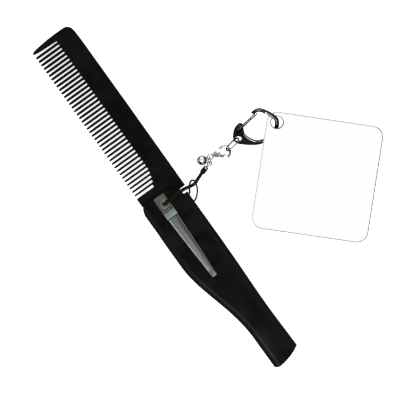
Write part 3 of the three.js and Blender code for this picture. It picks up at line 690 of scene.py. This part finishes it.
def handle_spine(x):
    """The handle's straight side, drawn in by 0.6 mm in a bell curve about x = -62."""
    return -11.36 + 0.6 * np.exp(-((x + 62) / 20) ** 2)


def handle_belly(x):
    """The handle's curved side: 2.62 mm out at the tail, and 7.65 more by a smoothstep of the share of the
    way from x = -72 to -27, to the power of 1.12."""
    return 2.62 + 7.65 * ease(np.maximum(0, (x + 72) / 45) ** 1.12)


def handle_lift(x):
    """How much lower the face stands than in the middle: 1.1 mm near the pivot, and 0.7 at the tail."""
    return 1.1 * ease((x + 22) / 14) + 0.7 * ease((-66 - x) / 22)


def handle_bar(thickness, shoulder):
    """The whole handle as one loft. At each x the section is a rectangle from spine to belly whose corners
    are quarter ovals, 1.7 high. Its top is crowned: it falls from the middle by 0.3 (2 s)^2, s being the
    share of the width from the middle, over the body, and is flat under the clip."""
    x = np.linspace(-90, 8, 113)[:, None]
    spine, belly, top = handle_spine(x), handle_belly(x), thickness / 2 - handle_lift(x)
    oval, crown = 1.7, 0.3
    a = np.radians(np.linspace(0, 90, 10))
    share = np.linspace(0.1, 0.9, 9)
    y = np.concatenate([
        belly - shoulder + shoulder * np.cos(a), belly - shoulder + (spine - belly + 2 * shoulder) * share,
        spine + shoulder - shoulder * np.sin(a),
    ], 1)
    z = np.concatenate([top - oval + oval * np.sin(a), top + 0 * share, top - oval + oval * np.cos(a)], 1)
    z -= crown * ease((-9 - x) / 16) * (2 * (y - (spine + belly) / 2) / (belly - spine)) ** 2
    rings = np.stack([x + 0 * y, y, PARTING + z], -1)
    below = rings[:, ::-1] * (1, 1, -1) + (0, 0, 2 * PARTING)
    return skin(np.concatenate([rings, below], 1))


def handle_plan():
    """The plan that trims the ends: the slanted tail, the square nose, and the strap's notch."""
    return np.concatenate([
        [[-83.6, -13], [-1.28, -13]], arch((-1.28, -9.9), (-1.28, -9.3), (-0.68, -9.3), 6),
        arch((0.9, -9.3), (4.3, -8.4), (HANDLE_NOSE, -0.5), 18),
        arch((HANDLE_NOSE, 6.9), (HANDLE_NOSE, 8.5), (3.3, 9.2)),
        arch((3.3, 9.2), (1.6, 10.1), (-0.3, 10.3))[1:], [[-0.4, 13], [-84.8, 13]],
        arch((-85.2, 2.9), (-87.2, 2.4), (HANDLE_TAIL, 0.2), 12),
        arch((HANDLE_TAIL, 0.2), (-87.1, -5.6), (-84.2, -10.9), 18)[1:],
    ])


class MakeHandle(bpy.types.Operator):
    """The handle's two moulded shells, with the channel that the blade folds into"""
    bl_idname = "comb.handle"
    bl_label = "Handle"

    def execute(self, context):
        sizes = context.scene.comb_sizes
        bar = handle_bar(sizes.handle_thickness, sizes.shoulder)
        trimmed = carved(bar, [prism(handle_plan(), -5, 13)], "INTERSECT")
        channel = prism([[-95, -9.05], [-3.7, -9.05], [-3.7, -7.6], [-1.28, -7.6], [-1.28, -20], [20, -20],
                         [20, 20], [-95, 20]], 2.3, 5.5)
        bore, rim_recess = post(RIVET_BORE, -1, 9), post(2.24, -1, 1.55)
        body = carved(trimmed, [channel, bore, rim_recess])
        for side, low, high in (("front", 3.95, 12), ("back", -4, 3.85)):
            half = carved(body, [block((-99, -20, low), (20, 20, high))], "INTERSECT")
            piece = add_piece(f"handle_{side}_moulding", half, COMB, "handle",
                              "moulded black ABS", [f"handle_{side}_shell"], 30)
            soften(piece, sizes.edge, 34, 3)
        return {"FINISHED"}


def slot_floor(right, left):
    """The round root between two teeth: a half circle as wide as the gap, standing on the root line, which
    rises by 2.28 ((17.4 - x) / 7.7)^1.5 towards the handle."""
    middle, half = (right + left) / 2, (right - left) / 2
    root = TOOTH_ROOT + 2.28 * (max(0, 17.4 - middle) / 7.7) ** 1.5
    a = np.radians(np.linspace(0, 180, 7))
    return np.stack([middle + half * np.cos(a), root + half * (1 - np.sin(a))], -1)


def blade_outline(teeth, pitch):
    """The blade's outline, and which of its points belong to the teeth. The teeth's widths grow evenly from
    0.98 mm at the handle to 1.22 at the tip. Each keeps its width to 2 mm from its rounded point."""
    guard = [[1.5, -12.2], [45, -12.4], [80, -12.4], *arch((84.9, -12.2), (88.7, -11.8), (88.7, -8.3), 9),
             [88.7, -4], [88.58, 0], [88.3, 3.2], [87.95, 6.4], [87.62, 8.0], [87.3, 8.6], [86.93, 8.8],
             [86.55, 8.6], [86.25, 8.0], [86.1, 7.0], [85.9, 4.5]]
    x = FIRST_TOOTH - pitch * np.arange(teeth)
    half = (0.98 + 0.24 * (x - 10.4) / 74) / 2
    rights, lefts = np.concatenate([[85.62], x - half]), np.concatenate([x + half, [LAST_GAP]])
    share, drop = np.array([1, 0.98, 0.92, 0.74, 0.35]), np.array([6.4, 7.5, 8.2, 8.6, 8.75])
    point = half[:, None] * np.concatenate([share, -share[::-1]])
    tips = np.stack([x[:, None] + point, np.tile(np.concatenate([drop, drop[::-1]]), (teeth, 1))], -1)
    comb = [part for i in range(teeth) for part in (slot_floor(rights[i], lefts[i]), tips[i])]
    comb = np.concatenate([*comb, slot_floor(rights[-1], lefts[-1])])
    tang = [[LAST_GAP, 8.6], [8.6, 8.84], [4.3, 8.84], [3.9, 7.2], [-0.9, 7.0],
            *circle(6.2, 22, start=110, sweep=105), [-4.2, -5.6], [-0.95, -7.5], [-0.95, -8.7], [1.0, -8.9],
            [1.5, -9.4]]
    parts = (guard, comb, tang)
    return np.concatenate(parts), np.repeat([False, True, False], [len(part) for part in parts])


class MakeBlade(bpy.types.Operator):
    """The comb's blade: tapered teeth between a guard tooth and the shoulder, on a tang that turns"""
    bl_idname = "comb.blade"
    bl_label = "Blade"

    def execute(self, context):
        sizes = context.scene.comb_sizes
        outline, crisp = blade_outline(sizes.teeth, sizes.tooth_pitch)
        hole = circle(RIVET_BORE, 40)[::-1]
        points, faces = slab([outline, hole], sizes.blade_thickness / 2, np.where(crisp, 0.08, 0.3), 0, 4)
        # The blade thins from the tooth roots to the points, in a straight line to each side.
        down = np.clip((points[:, 1] - TOOTH_ROOT) / (TOOTH_POINT - TOOTH_ROOT), 0, 1)
        points[:, 2] *= 1 - down * (1 - sizes.tooth_tip / sizes.blade_thickness)
        add_piece("comb_blade_moulding", (points, faces), COMB @ at(0, 0, PARTING), "blade",
                  "moulded black comb plastic", ["comb_blade"], 38)
        return {"FINISHED"}


class MakePivot(bpy.types.Operator):
    """The hollow rivet with its two rolled rims, and a washer on each side of the blade"""
    bl_idname = "comb.pivot"
    bl_label = "Pivot"

    def execute(self, context):
        roll = circle(0.22, 10, 1.93, 7.38, -90, 200)
        foot = roll[::-1] * (1, -1) + (0, 8.72)
        profile = np.concatenate([
            [[1.1, 1.5], [1.14, 1.34]], arch((1.2, 1.22), (1.32, 1.12), (1.5, 1.12), 4), foot,
            [[1.5, 1.47], [1.5, 7.25]], roll, arch((1.5, 7.6), (1.32, 7.6), (1.2, 7.5), 4),
            [[1.14, 7.38], [1.1, 7.2]],
        ])
        add_piece("rivet", lathed(profile, 64), COMB, "handle", "dulled nickel plate",
                  ["pivot_eyelet"], 50)
        ring = [[1.59, 0.05], [1.66, 0], [3.42, 0], [3.5, 0.08], [3.5, 0.27], [3.42, 0.35], [1.66, 0.35],
                [1.59, 0.3]]
        for side, low in (("front", 5.125), ("back", 2.325)):
            add_piece("washer_" + side, lathed(ring, 56), COMB @ at(0, 0, low), "handle",
                      "stamped nylon", ["blade_washer_" + side], 30)
        return {"FINISHED"}


def clip_strip(stock):
    """The clip's tongue as rings of a flat section, and where each point lies: along the tongue, and as a
    share of the half width. The line steps up by 1.75 mm in a smoothstep, runs out and turns up at its end.
    The half width falls evenly from 2.45 mm to 1.2 and is rounded at the end by an oval. The section's
    edges are quarter circles, and past the step its faces are crowned by 0.1 (1 - share^2)."""
    foot, end, edge = -6.8, -38.6, 0.12
    t = np.linspace(0, 1, 15)
    step = np.stack([-2.8 - 4 * t, 1.75 * ease(t)], -1)
    run = curve_through([[foot, 1.75], [-14.8, 1.69], [-26.8, 1.49], [-33.4, 1.36], [-34.8, 1.3],
                         [-36.0, 1.36], [-37.4, 1.62], [end, 2.0]], 60)
    path = np.concatenate([step, run[1:]])
    x = path[:, 0]
    away = headings(path)[:, ::-1] * (1, -1)
    away[0] = (0, 1)
    half = np.where(x > foot, 2.69, (4.9 + (2.4 - 4.9) * (foot - x) / (foot - end)) / 2)
    half = half * np.sqrt(1 - (1 - np.clip((x - end) / 0.9, 0, 1)) ** 2 * 0.55)
    a = np.radians(np.linspace(0, 90, 4))
    bend = edge * (1 - np.cos(a)) / half[:, None]
    across = np.concatenate([1 - bend, np.tile(np.linspace(0.8, -0.8, 9), (len(x), 1)), bend[:, ::-1] - 1], 1)
    rise = stock - edge + edge * np.sin(a)
    rise = np.concatenate([rise, np.full(9, stock), rise[::-1]])
    lift = 0.1 * ease((-3.5 - x) / 3)[:, None] * (1 - across**2)
    height = np.concatenate([rise + lift, (stock - rise + lift)[:, ::-1]], 1)
    across = np.concatenate([across, across[:, ::-1]], 1)
    rings = np.stack([path[:, :1] + away[:, :1] * height, 0.35 + half[:, None] * across,
                      CLIP_FOOT + path[:, 1:] + away[:, 1:] * height], -1)
    return rings, np.stack([x[:, None] + 0 * across, across, 0 * across], -1).reshape(-1, 3)


class MakeClip(bpy.types.Operator):
    """The pocket clip: a flat head under the rivet's rim, a step up, and a tapering spring tongue"""
    bl_idname = "comb.clip"
    bl_label = "Pocket clip"

    def execute(self, context):
        stock = context.scene.comb_sizes.clip_stock
        head = np.concatenate([[[-2.7, -2.38]], arch((3.66, -2.38), (4.36, -2.38), (4.36, -1.68)),
                               arch((4.36, 2.3), (4.36, 3.0), (3.66, 3.0)), [[-2.7, 3.0]]])
        plate = slab([head, circle(RIVET_BORE, 48)[::-1]], stock / 2, 0.09, CLIP_FOOT + stock / 2)
        plate = add_piece("clip_plate", plate, COMB, "handle", "brushed stainless plate",
                          ["pocket_clip_head"], 40)
        map_points(plate, "brush", points_of(plate) * (1, 0.37, 1))
        rings, brush = clip_strip(stock)
        tongue = add_piece("clip_tongue", skin(rings), COMB, "clip",
                           "brushed stainless strip", ["pocket_clip_tongue"], 40)
        map_points(tongue, "brush", brush)
        return {"FINISHED"}


# Strap and chain

STRAP_ROUTE = [
    (2.41, -23.04, 1.36), (2.01, -21.49, 1.25), (0.95, -18.5, 0.6), (-0.1, -15.5, 1.2), (0.3, -12.9, 2.6),
    (0.68, -10.9, 6.0), (0.78, -8.9, 7.5), (0.74, -6.0, 7.4), (0.5, -2.6, 8.05), (0.42, -0.9, 8.25),
    (0.4, 0.2, 6.6), (0.4, 0.2, 1.8), (0.25, -1.1, 0.56), (-0.6, -4.5, 0.46), (-2.6, -8.6, 0.46),
    (-2.5, -11.6, 0.46), (-0.9, -12.75, 0.46), (0.9, -14.2, 0.55), (1.5, -15.6, 1.1), (0.5, -16.7, 2.0),
    (-0.9, -16.4, 2.25), (-2.4, -15.8, 1.5), (-4.0, -14.8, 0.6), (-6.2, -12.2, 0.46), (-6.3, -8.2, 0.46),
    (-3.6, -4.2, 0.46), (-1.0, -1.3, 0.56), (-0.4, 0.2, 1.8), (-0.4, 0.2, 6.6), (-0.36, -0.9, 8.25),
    (-0.28, -2.6, 8.05), (-0.06, -6.0, 7.4), (-0.02, -8.9, 7.5), (-0.12, -10.9, 6.0), (-0.5, -12.9, 2.6),
    (-0.9, -15.7, 1.2), (0.16, -18.7, 0.6), (1.25, -21.69, 1.25), (1.65, -23.24, 1.36),
]


class MakeStrap(bpy.types.Operator):
    """The strap: one cord from the ferrule, over the nose, down the rivet, round in a hitch and back"""
    bl_idname = "comb.strap"
    bl_label = "Strap cord"

    def execute(self, context):
        diameter = context.scene.comb_sizes.cord
        path = even(curve_through(STRAP_ROUTE, 3000), 560)
        length = float(np.linalg.norm(np.diff(path, axis=0), axis=1).sum())
        ahead = headings(path)
        across = np.cross(ahead, (0.0, 0.0, 1.0))
        for k in range(1, len(path)):
            side = across[k - 1] - ahead[k] * (across[k - 1] @ ahead[k])
            across[k] = side / np.linalg.norm(side)
        across[0] /= np.linalg.norm(across[0])
        up = np.cross(across, ahead)
        a = np.linspace(0, 2 * np.pi, 12, endpoint=False)
        round_it = np.stack([np.cos(a), np.sin(a)])
        wide, high = round_it[:, None, :, None]
        rings = path[:, None] + diameter / 2 * (wide * across[:, None] + high * up[:, None])
        strap = add_piece("strap_braid", skin(rings), COMB, "handle", "braided polyester",
                          ["strap_cord"], 80)
        along = np.repeat(np.linspace(0, length, len(path)), len(a))
        map_points(strap, "braid", np.stack([along, *np.tile(round_it, len(path))], -1))
        return {"FINISHED"}


class MakeFerrule(bpy.types.Operator):
    """The crimped ferrule on the strap's ends, and the jump ring that joins it to the bell and the clasp"""
    bl_idname = "comb.ferrule"
    bl_label = "Ferrule and jump ring"

    def execute(self, context):
        sizes = context.scene.chain_sizes
        profile = [[0, 0.4], [0.95, 0.4], [0.95, -1.5], [1.05, -1.56], [1.1, -1.4], [1.1, 0.5], [1.14, 0.62],
                   [1.14, 0.9], [1.08, 1.15], [0.96, 1.35], [0.72, 1.53], [0.4, 1.6], [0, 1.6]]
        cup = placed(lathed(profile, 40), turned(90, "Y"))
        eye = placed(torus(0.95, 0.56, 48, 16), at(3.5, 0))
        neck = swept(np.linspace(1.2, 2.7, 10)[:, None] * (1, 0, 0), 0.32, 0.27, 16)
        add_piece("ferrule", joined(cup, neck, eye), FERRULE, "handle", "bright nickel plate",
                  ["strap_ferrule"], 50)
        # The binding's radius waves with each turn of thread, 0.25 mm apart, and falls off at its open end.
        x = np.linspace(-2.0, 0.5, 101)
        wound = 1.19 + 0.06 * np.abs(np.cos(np.pi * (x + 2.0) / 0.25))
        wound -= 0.35 * (1 - np.minimum(1, (x + 2.0) / 0.7)) ** 2
        binding = np.concatenate([[[0.5, -2.0]], np.stack([wound, x], -1), [[0.9, 0.5], [0.5, -1.4]]])
        binding = placed(lathed(binding, 40), turned(90, "Y"))
        whipping = add_piece("strap_whipping", binding, FERRULE, "handle", "braided polyester",
                             [], 60)
        spot = placed((points_of(whipping), []), FERRULE.inverted() @ COMB)[0]
        reach = np.hypot(spot[:, 1], spot[:, 2])
        map_points(whipping, "braid", np.stack([spot[:, 0], spot[:, 1] / reach, spot[:, 2] / reach], -1))
        opening = circle(sizes.ring, 70, start=94, sweep=355)
        ring = swept(flat(opening), sizes.ring_wire / 2, sizes.ring_wire / 2, 16)
        add_piece("split_jump_ring", ring, JUMP_RING, "handle", "bright nickel plate",
                  ["jump_ring"], 50)
        return {"FINISHED"}


class MakeBell(bpy.types.Operator):
    """The small bell: a shell with two crossed slits, a crimped seam and a wire eye, and a loose clapper"""
    bl_idname = "comb.bell"
    bl_label = "Bell"

    def execute(self, context):
        radius = context.scene.chain_sizes.bell
        wall, slit, reach = 0.32, 0.34, 1.85
        a = np.radians(np.linspace(-90, 90, 33))
        seam = 1 - 0.035 * np.exp(-((np.degrees(a) - 4) / 5) ** 2)
        outside = np.stack([radius * seam * np.cos(a), radius * np.sin(a)], -1)
        inside = (radius - wall) * np.stack([np.cos(a[::-1]), np.sin(a[::-1])], -1)
        shell = lathed(np.concatenate([outside, inside]), 64)
        slits = []
        for x, y in ((reach, 0), (0, reach)):
            slits.append(block((-slit - x, -slit - y, 0.5), (slit + x, slit + y, 4)))
            slits += [post(0.52, 0.5, 4, sign * x, sign * y, 24) for sign in (-1, 1)]
        turn = turned_to(Vector((0.63, -0.515, 0.58)))
        hollow = carved(shell, [placed(tool, turn) for tool in slits])
        eye = placed(torus(0.85, 0.44, 36, 14), at(3.3, -0.1, 0.75) @ turned(90, "X"))
        kept = carved(eye, [ball(radius - 0.1, 25, 48)])
        clapper = placed(ball(0.8, 17, 32), at(0, 0, -1.27))
        for name, shape, node in (("bell_body", joined(hollow, kept), "bell_shell"),
                                  ("bell_ball", clapper, "bell_clapper")):
            add_piece(name, shape, BELL, "bell", "tumbled nickel plate", [node], 40)
        return {"FINISHED"}


def rivet_pin(radius, half, x, y):
    """A pin along Z whose ends are domed by a tenth of a millimetre."""
    a = np.radians([0, 25, 50, 75, 90])
    dome = np.stack([radius * np.sin(a), half - 0.1 + 0.1 * np.cos(a)], -1)
    return placed(lathed(np.concatenate([dome, dome[::-1] * (1, -1)]), 28), at(x, y))


class MakeClasp(bpy.types.Operator):
    """The lobster clasp: a round bow on a flat body with an eye, and its sprung lever on a pin"""
    bl_idname = "comb.clasp"
    bl_label = "Clasp and lever"

    def execute(self, context):
        eye_x, pin = -6.56, (-2.7, -1.0)
        path = flat(circle(context.scene.chain_sizes.bow, 64, start=-82, sweep=260))
        bow = swept(path, 0.54, 0.58, 20, taper=round_ends(64, 0.035))
        plan = cut_corners([[-5.7, -0.8], [-3.6, -1.75], [-2.0, -2.0], [-1.7, -1.5], [-1.75, -0.9],
                            [-1.95, 0.1], [-1.6, 1.2], [-0.7, 1.9], [-0.5, 2.6], [-1.1, 3.1], [-2.4, 2.5],
                            [-4.0, 1.6], [-5.7, 0.85]], 3, 0.2)
        points, faces = slab([plan], 1.1, 0.4, 0, 5)
        # The casting thins from the body to the bow, by up to half its height.
        points[:, 2] *= 1 - 0.5 * ease((points[:, 1] - 0.4) / 1.9) * ease((points[:, 0] + 4) / 2.2)
        eye = slab([circle(1.45, 40, eye_x), circle(0.95, 32, eye_x)[::-1]], 0.35, 0.14, 0, 4)
        slot, pin_hole = block((-3.7, -3, -0.5), (0, -0.1, 0.5)), post(0.42, -3, 3, *pin, 24)
        solid = carved((points, faces), [slot, pin_hole, post(0.95, -3, 3, eye_x, 0, 32)])
        clasp = carved(carved(solid, [bow, eye], "UNION"), [slot])
        outline = cut_corners([[-3.3, -0.6], [-2.7, -0.3], [-1.9, -0.55], [0.45, -0.92], [0.8, -1.2],
                               [0.5, -1.52], [-0.5, -1.6], [-0.75, -2.25], [-1.2, -2.35], [-1.6, -1.7],
                               [-2.5, -1.7], [-3.25, -1.4]], 2, 0.25)
        lever = slab([outline, circle(0.42, 24, *pin)[::-1]], 0.4, 0.11, 0, 3)
        for name, shape, body, node, sharp in (
            ("clasp_casting", clasp, "clasp", "clasp_body", 40),
            ("lever_stamping", lever, "lever", "clasp_lever", 40),
            ("clasp_rivet", rivet_pin(0.35, 1.1, *pin), "clasp", "clasp_pin", 50),
        ):
            add_piece(name, shape, CLASP, body, "bright nickel plate", [node], sharp)
        return {"FINISHED"}


class MakeLink(bpy.types.Operator):
    """The long link that stands almost on edge between the clasp's bow and the hook's eye"""
    bl_idname = "comb.link"
    bl_label = "Link"

    def execute(self, context):
        radius, wire = 1.5, context.scene.chain_sizes.link_wire / 2
        on_bow = turned(42).to_3x3() @ Vector((1.42, 0, 0)) + Vector((0, 0, -0.03))
        start = (CHAIN.inverted() @ CLASP).translation + on_bow
        end = (CHAIN.inverted() @ HOOK) @ Vector((*HOOK_EYE, 0))
        path = flat(circle(radius, 72))
        path[:, 0] += np.sign(path[:, 0]) * ((end - start).length / 2 - radius)
        path = even(np.concatenate([path, path[:1]]), 97)[:-1]
        place = CHAIN @ at(*(start + end) / 2) @ turned_to(end - start, (1, 0, 0)) @ turned(-47, "X")
        # The link's darker nickel is painted shade.
        add_piece("long_link", swept(path, wire, wire, 16, closed=True), place, "link",
                  "worn nickel plate", ["link_ring"], 50)
        return {"FINISHED"}


class MakeHook(bpy.types.Operator):
    """The snap hook: a plated body with an eye, a bar that sweeps round to its nose, and a sprung gate"""
    bl_idname = "comb.hook"
    bl_label = "Snap hook and gate"

    def execute(self, context):
        sizes = context.scene.chain_sizes
        line = curve_through([(-2.75, 7.0), (-1.2, 8.2), (0.65, 8.8), (4.0, 7.5), (6.9, 5.4), (8.3, 3.6),
                              (8.5, 2.2), (8.45, 0.6), (7.7, -1.8), (5.9, -4.8), (3.2, -7.0), (0.4, -8.0),
                              (-3.0, -7.9)], 120)
        line = even(line, 120)
        nose = 0.7 + 0.3 * ease(np.linspace(0, 9, 120))
        bar = swept(flat(line), sizes.hook_width / 2, sizes.hook_thickness / 2, 20,
                    taper=round_ends(120, 0.02) * nose)
        outer = curve_through([(-7.1, 1.5), (-7.9, 1.7), (-8.6, 1.15), (-9.6, 0.15), (-10.5, -2.1),
                               (-10.8, -5.0), (-10.3, -7.0), (-9.0, -8.4), (-5.7, -9.1), (-2.3, -9.3),
                               (0.8, -9.0), (3.2, -7.9)], 60)
        inner = curve_through([(3.2, -6.6), (0.8, -7.1), (-1.6, -6.75), (-3.1, -5.95), (-5.3, -3.9),
                               (-6.2, -1.2), (-6.6, 1.2)], 44)
        edge = np.concatenate([np.full(60, 0.28), 0.28 + 0.2 * np.sin(np.linspace(0, np.pi, 44))])
        plate = slab([np.concatenate([outer, inner])], 0.62, edge, 0, 5)
        cheek = cut_corners([[-9.45, 0.2], [-10.4, -2.1], [-10.75, -3.8], [-5.65, -3.5], [-6.15, -1.2],
                             [-6.6, 1.4], [-7.9, 1.75], [-8.6, 1.1]], 2, 0.15)
        cast = carved(plate, [slab([cheek], 0.9, 0.25, 0, 4), bar], "UNION")

        # The gate from above is round at its tail behind the pin, straight, and round at its tip. Its groove
        # is 0.1 mm wider all round.
        pin, reach, tail, wide = (-7.7, -0.9), 11.0, -1.35, 0.72
        at_pin = at(*pin) @ turned(48.1)
        groove = np.concatenate([circle(wide + 0.1, 20, tail, 0, 90, 180),
                                 circle(wide + 0.1, 20, reach - wide, 0, -90, 180)])
        eye, pin_hole = post(1.6, -3, 3, *HOOK_EYE, 40), post(0.42, -3, 3, *pin, 24)
        slot, groove = block((-10.1, -3.3, -0.5), (-3, 4, 0.5)), placed(prism(groove, 0.2, 3), at_pin)
        cast = carved(cast, [eye, slot, pin_hole, groove])
        body = add_piece("hook_casting", cast, HOOK, "hook", "dark nickel plate",
                         ["hook_body"], 40)
        soften(body, 0.12, 40, 2)

        # Painted highlights: thin strips of bright nickel along the body's inner edge and the bar's crest
        # stand in for the light that the dark plate catches there.
        highlight_strips = []
        for path, inward, height in ((even(inner, 60)[14:-9], 0.36, 0.57),
                                     (line[24:60], -0.1, sizes.hook_thickness / 2 - 0.03)):
            side = path + inward * headings(path)[:, ::-1] * (-1, 1)
            highlight_strips.append(swept(flat(side, height), 0.2, 0.13, 12, taper=round_ends(len(path), 0.2)))
        add_piece("hook_bright_edges", joined(*highlight_strips), HOOK, "hook", "tumbled nickel plate",
                  [], 50)

        gate_line = np.linspace(tail - wide, reach, 60)[:, None] * (1, 0, 0)
        gate = carved(swept(gate_line, wide, 0.42, 20, taper=round_ends(60, 0.07)),
                      [slab([circle(0.95, 32)], 0.36, 0.12, 0, 3)], "UNION")
        gate = carved(gate, [post(0.37, -1, 1, 0, 0, 24)])
        add_piece("hook_gate_bar", gate, HOOK @ at_pin, "gate", "bright nickel plate",
                  ["hook_gate"], 40)
        rivet = placed(rivet_pin(0.35, 0.65, *pin), at(0, 0, -0.25))
        add_piece("hook_rivet", rivet, HOOK, "hook", "bright nickel plate", ["hook_gate_pin"], 50)
        return {"FINISHED"}


class MakeMirror(bpy.types.Operator):
    """The square mirror: a silvered acrylic panel with a corner hole, its sawn rim, and its painted back"""
    bl_idname = "comb.mirror"
    bl_label = "Mirror"

    def execute(self, context):
        sizes = context.scene.chain_sizes
        inset, corner = 4.7, sizes.mirror_corner
        far, near = sizes.mirror_side - inset - corner, inset - corner
        corners = ((far, -far, -90), (far, near, 0), (-near, near, 90), (-near, -far, 180))
        outline = np.concatenate([circle(corner, 12, x, y, start, 90) for x, y, start in corners])
        hole = circle(sizes.mirror_hole / 2, 48)[::-1]
        sheet, paint = 0.425, 0.055
        panel = slab([outline, hole], sheet, 0.42, 0.5 - sheet)
        panel = add_piece("mirror_sheet", panel, MIRROR, "mirror", "silvered acrylic",
                          ["mirror_panel"], 5)
        for edge in ("sawn acrylic edge", "bored acrylic edge"):
            panel.data.materials.append(finish(edge))
        # Faces that aren't parallel to the sheet are its edge, and near the frame's origin that of its hole.
        faces = panel.data.polygons
        normals, centres = np.empty(len(faces) * 3), np.empty(len(faces) * 3)
        faces.foreach_get("normal", normals)
        faces.foreach_get("center", centres)
        rim = normals.reshape(-1, 3) @ np.array(MIRROR.to_3x3() @ Vector((0, 0, 1))) < 0.99
        bored = np.linalg.norm(centres.reshape(-1, 3) / MM - np.array(MIRROR.translation), axis=1) < 3.5
        faces.foreach_set("material_index", (rim * (1 + bored)).astype(np.int32))
        back = slab([outline, hole], paint, 0.03, paint - 0.5, 1)
        add_piece("mirror_paint", back, MIRROR, "mirror", "rolled grey paint",
                  ["mirror_backing"], 25)
        return {"FINISHED"}


# Stage


class MakeCamera(bpy.types.Operator):
    """The camera: straight down over the middle of the photograph, from far enough to be nearly parallel"""
    bl_idname = "comb.camera"
    bl_label = "Camera"

    def execute(self, context):
        field, distance, middle = 176.0, 1500.0, (-8.31, 29.53)
        picture_right = (-0.583, -0.8125)
        camera = bpy.data.cameras.new("camera")
        camera.sensor_width = 36
        camera.lens = camera.sensor_width * distance / field
        camera.clip_end = 10
        seen = bpy.data.objects.new("camera", camera)
        turn = math.degrees(math.atan2(picture_right[1], picture_right[0]))
        seen.matrix_world = at(*[value * MM for value in (*middle, distance)]) @ turned(turn)
        context.scene.collection.objects.link(seen)
        context.scene.camera = seen
        return {"FINISHED"}


def light_tent(tree):
    """Surroundings as in a white tent. The camera sees white. Gloss sees the tent too: a dark round opening
    at the zenith, where a camera would look in, a wide white ceiling, dimmer walls near the table, and two
    grey flags at opposite sides, which draw the darker lines that polished metal needs. Matt surfaces get
    an even, softer light."""
    tree.nodes.clear()
    to_flags = (0.97, 0.24, 0.0)
    towards = add(tree, "TexCoord").outputs["Generated"]
    height = add(tree, "SeparateXYZ", (towards,)).outputs["Z"]
    flags = add(tree, "VectorMath", (towards, to_flags), operation="DOT_PRODUCT").outputs["Value"]
    flags = add(tree, "MapRange", (add(tree, "Math", (flags,), operation="ABSOLUTE"), 0.5, 0.8, 1.0, 0.35))
    rim_of_opening, inside = math.cos(math.radians(10.5)), math.cos(math.radians(7.5))
    opening = add(tree, "MapRange", (height, rim_of_opening, inside, 1.0, 0.08))
    walls = add(tree, "MapRange", (height, 0.15, 0.75, 0.12, 1.0))
    tent = add(tree, "Math", (opening, walls), operation="MULTIPLY")
    tent = add(tree, "Math", (tent, flags), operation="MULTIPLY")
    rays = add(tree, "LightPath").outputs
    white = add(tree, "Math", (rays["Is Camera Ray"], rays["Is Transmission Ray"]), operation="MAXIMUM")
    plain = add(tree, "MapRange", (white, 0.0, 1.0, 0.45, 1.0))
    strength = add(tree, "MapRange", (rays["Is Glossy Ray"], 0.0, 1.0, plain, tent))
    add(tree, "OutputWorld", (add(tree, "Background", ((1, 1, 1, 1), strength)),))


class MakeStage(bpy.types.Operator):
    """The table, the white surroundings, and soft lamps"""
    bl_idname = "comb.stage"
    bl_label = "Table and lamps"

    def execute(self, context):
        scene = context.scene
        half, below = 4000.0, -0.02
        table = bpy.data.meshes.new("table")
        table.from_pydata([(x * half * MM, y * half * MM, below * MM) for x, y in
                           ((-1, -1), (1, -1), (1, 1), (-1, 1))], [], [(0, 1, 2, 3)])
        table.materials.append(finish("matt white laminate"))
        floor = bpy.data.objects.new("table", table)
        scene.collection.objects.link(floor)

        world = bpy.data.worlds.new("white tent with grey flags")
        world.use_nodes = True
        light_tent(world.node_tree)
        scene.world = world

        aim = Vector((0, 20, 0))
        for name, spot, width, power in (("key softbox", (-420, 380, 760), 420, 7.0),
                                         ("fill softbox", (520, -360, 640), 520, 3.0)):
            lamp = bpy.data.lights.new(name, "AREA")
            lamp.size = width * MM
            lamp.energy = power
            light = bpy.data.objects.new(name, lamp)
            turn = ((Vector(spot) - aim) * MM).to_track_quat("Z", "Y").to_matrix().to_4x4()
            light.matrix_world = Matrix.Translation(Vector(spot) * MM) @ turn
            scene.collection.objects.link(light)
        scene.view_settings.view_transform = "Standard"
        return {"FINISHED"}


# Panel and start


OPERATORS = (MakeCamera, MakeStrap, MakeHandle, MakeBlade, MakePivot, MakeClip, MakeFerrule, MakeBell,
             MakeClasp, MakeLink, MakeHook, MakeMirror, MakeStage)


class MirrorCombPanel(bpy.types.Panel):
    """Lists the sizes, the colours and the pieces"""
    bl_idname = "VIEW3D_PT_mirror_comb"
    bl_label = "Pocket mirror comb"
    bl_space_type = "VIEW_3D"
    bl_region_type = "UI"
    bl_category = "Mirror Comb"

    def draw(self, context):
        for group in (context.scene.comb_sizes, context.scene.chain_sizes, context.scene.comb_finishes):
            box = self.layout.box()
            for key in type(group).__annotations__:
                box.prop(group, key)
        for operator in OPERATORS:
            self.layout.operator(operator.bl_idname)


def register():
    for kind in (CombSizes, ChainSizes, Finishes, *OPERATORS, MirrorCombPanel):
        bpy.utils.register_class(kind)
    bpy.types.Scene.comb_sizes = PointerProperty(type=CombSizes)
    bpy.types.Scene.chain_sizes = PointerProperty(type=ChainSizes)
    bpy.types.Scene.comb_finishes = PointerProperty(type=Finishes)


def unregister():
    del bpy.types.Scene.comb_sizes, bpy.types.Scene.chain_sizes, bpy.types.Scene.comb_finishes
    for kind in (MirrorCombPanel, *reversed(OPERATORS), Finishes, ChainSizes, CombSizes):
        bpy.utils.unregister_class(kind)


def main():
    """Makes the camera and the strap, then the other pieces and the stage."""
    register()
    for operator in OPERATORS:
        group, name = operator.bl_idname.split(".")
        getattr(getattr(bpy.ops, group), name)()


if __name__ == "__main__":
    main()
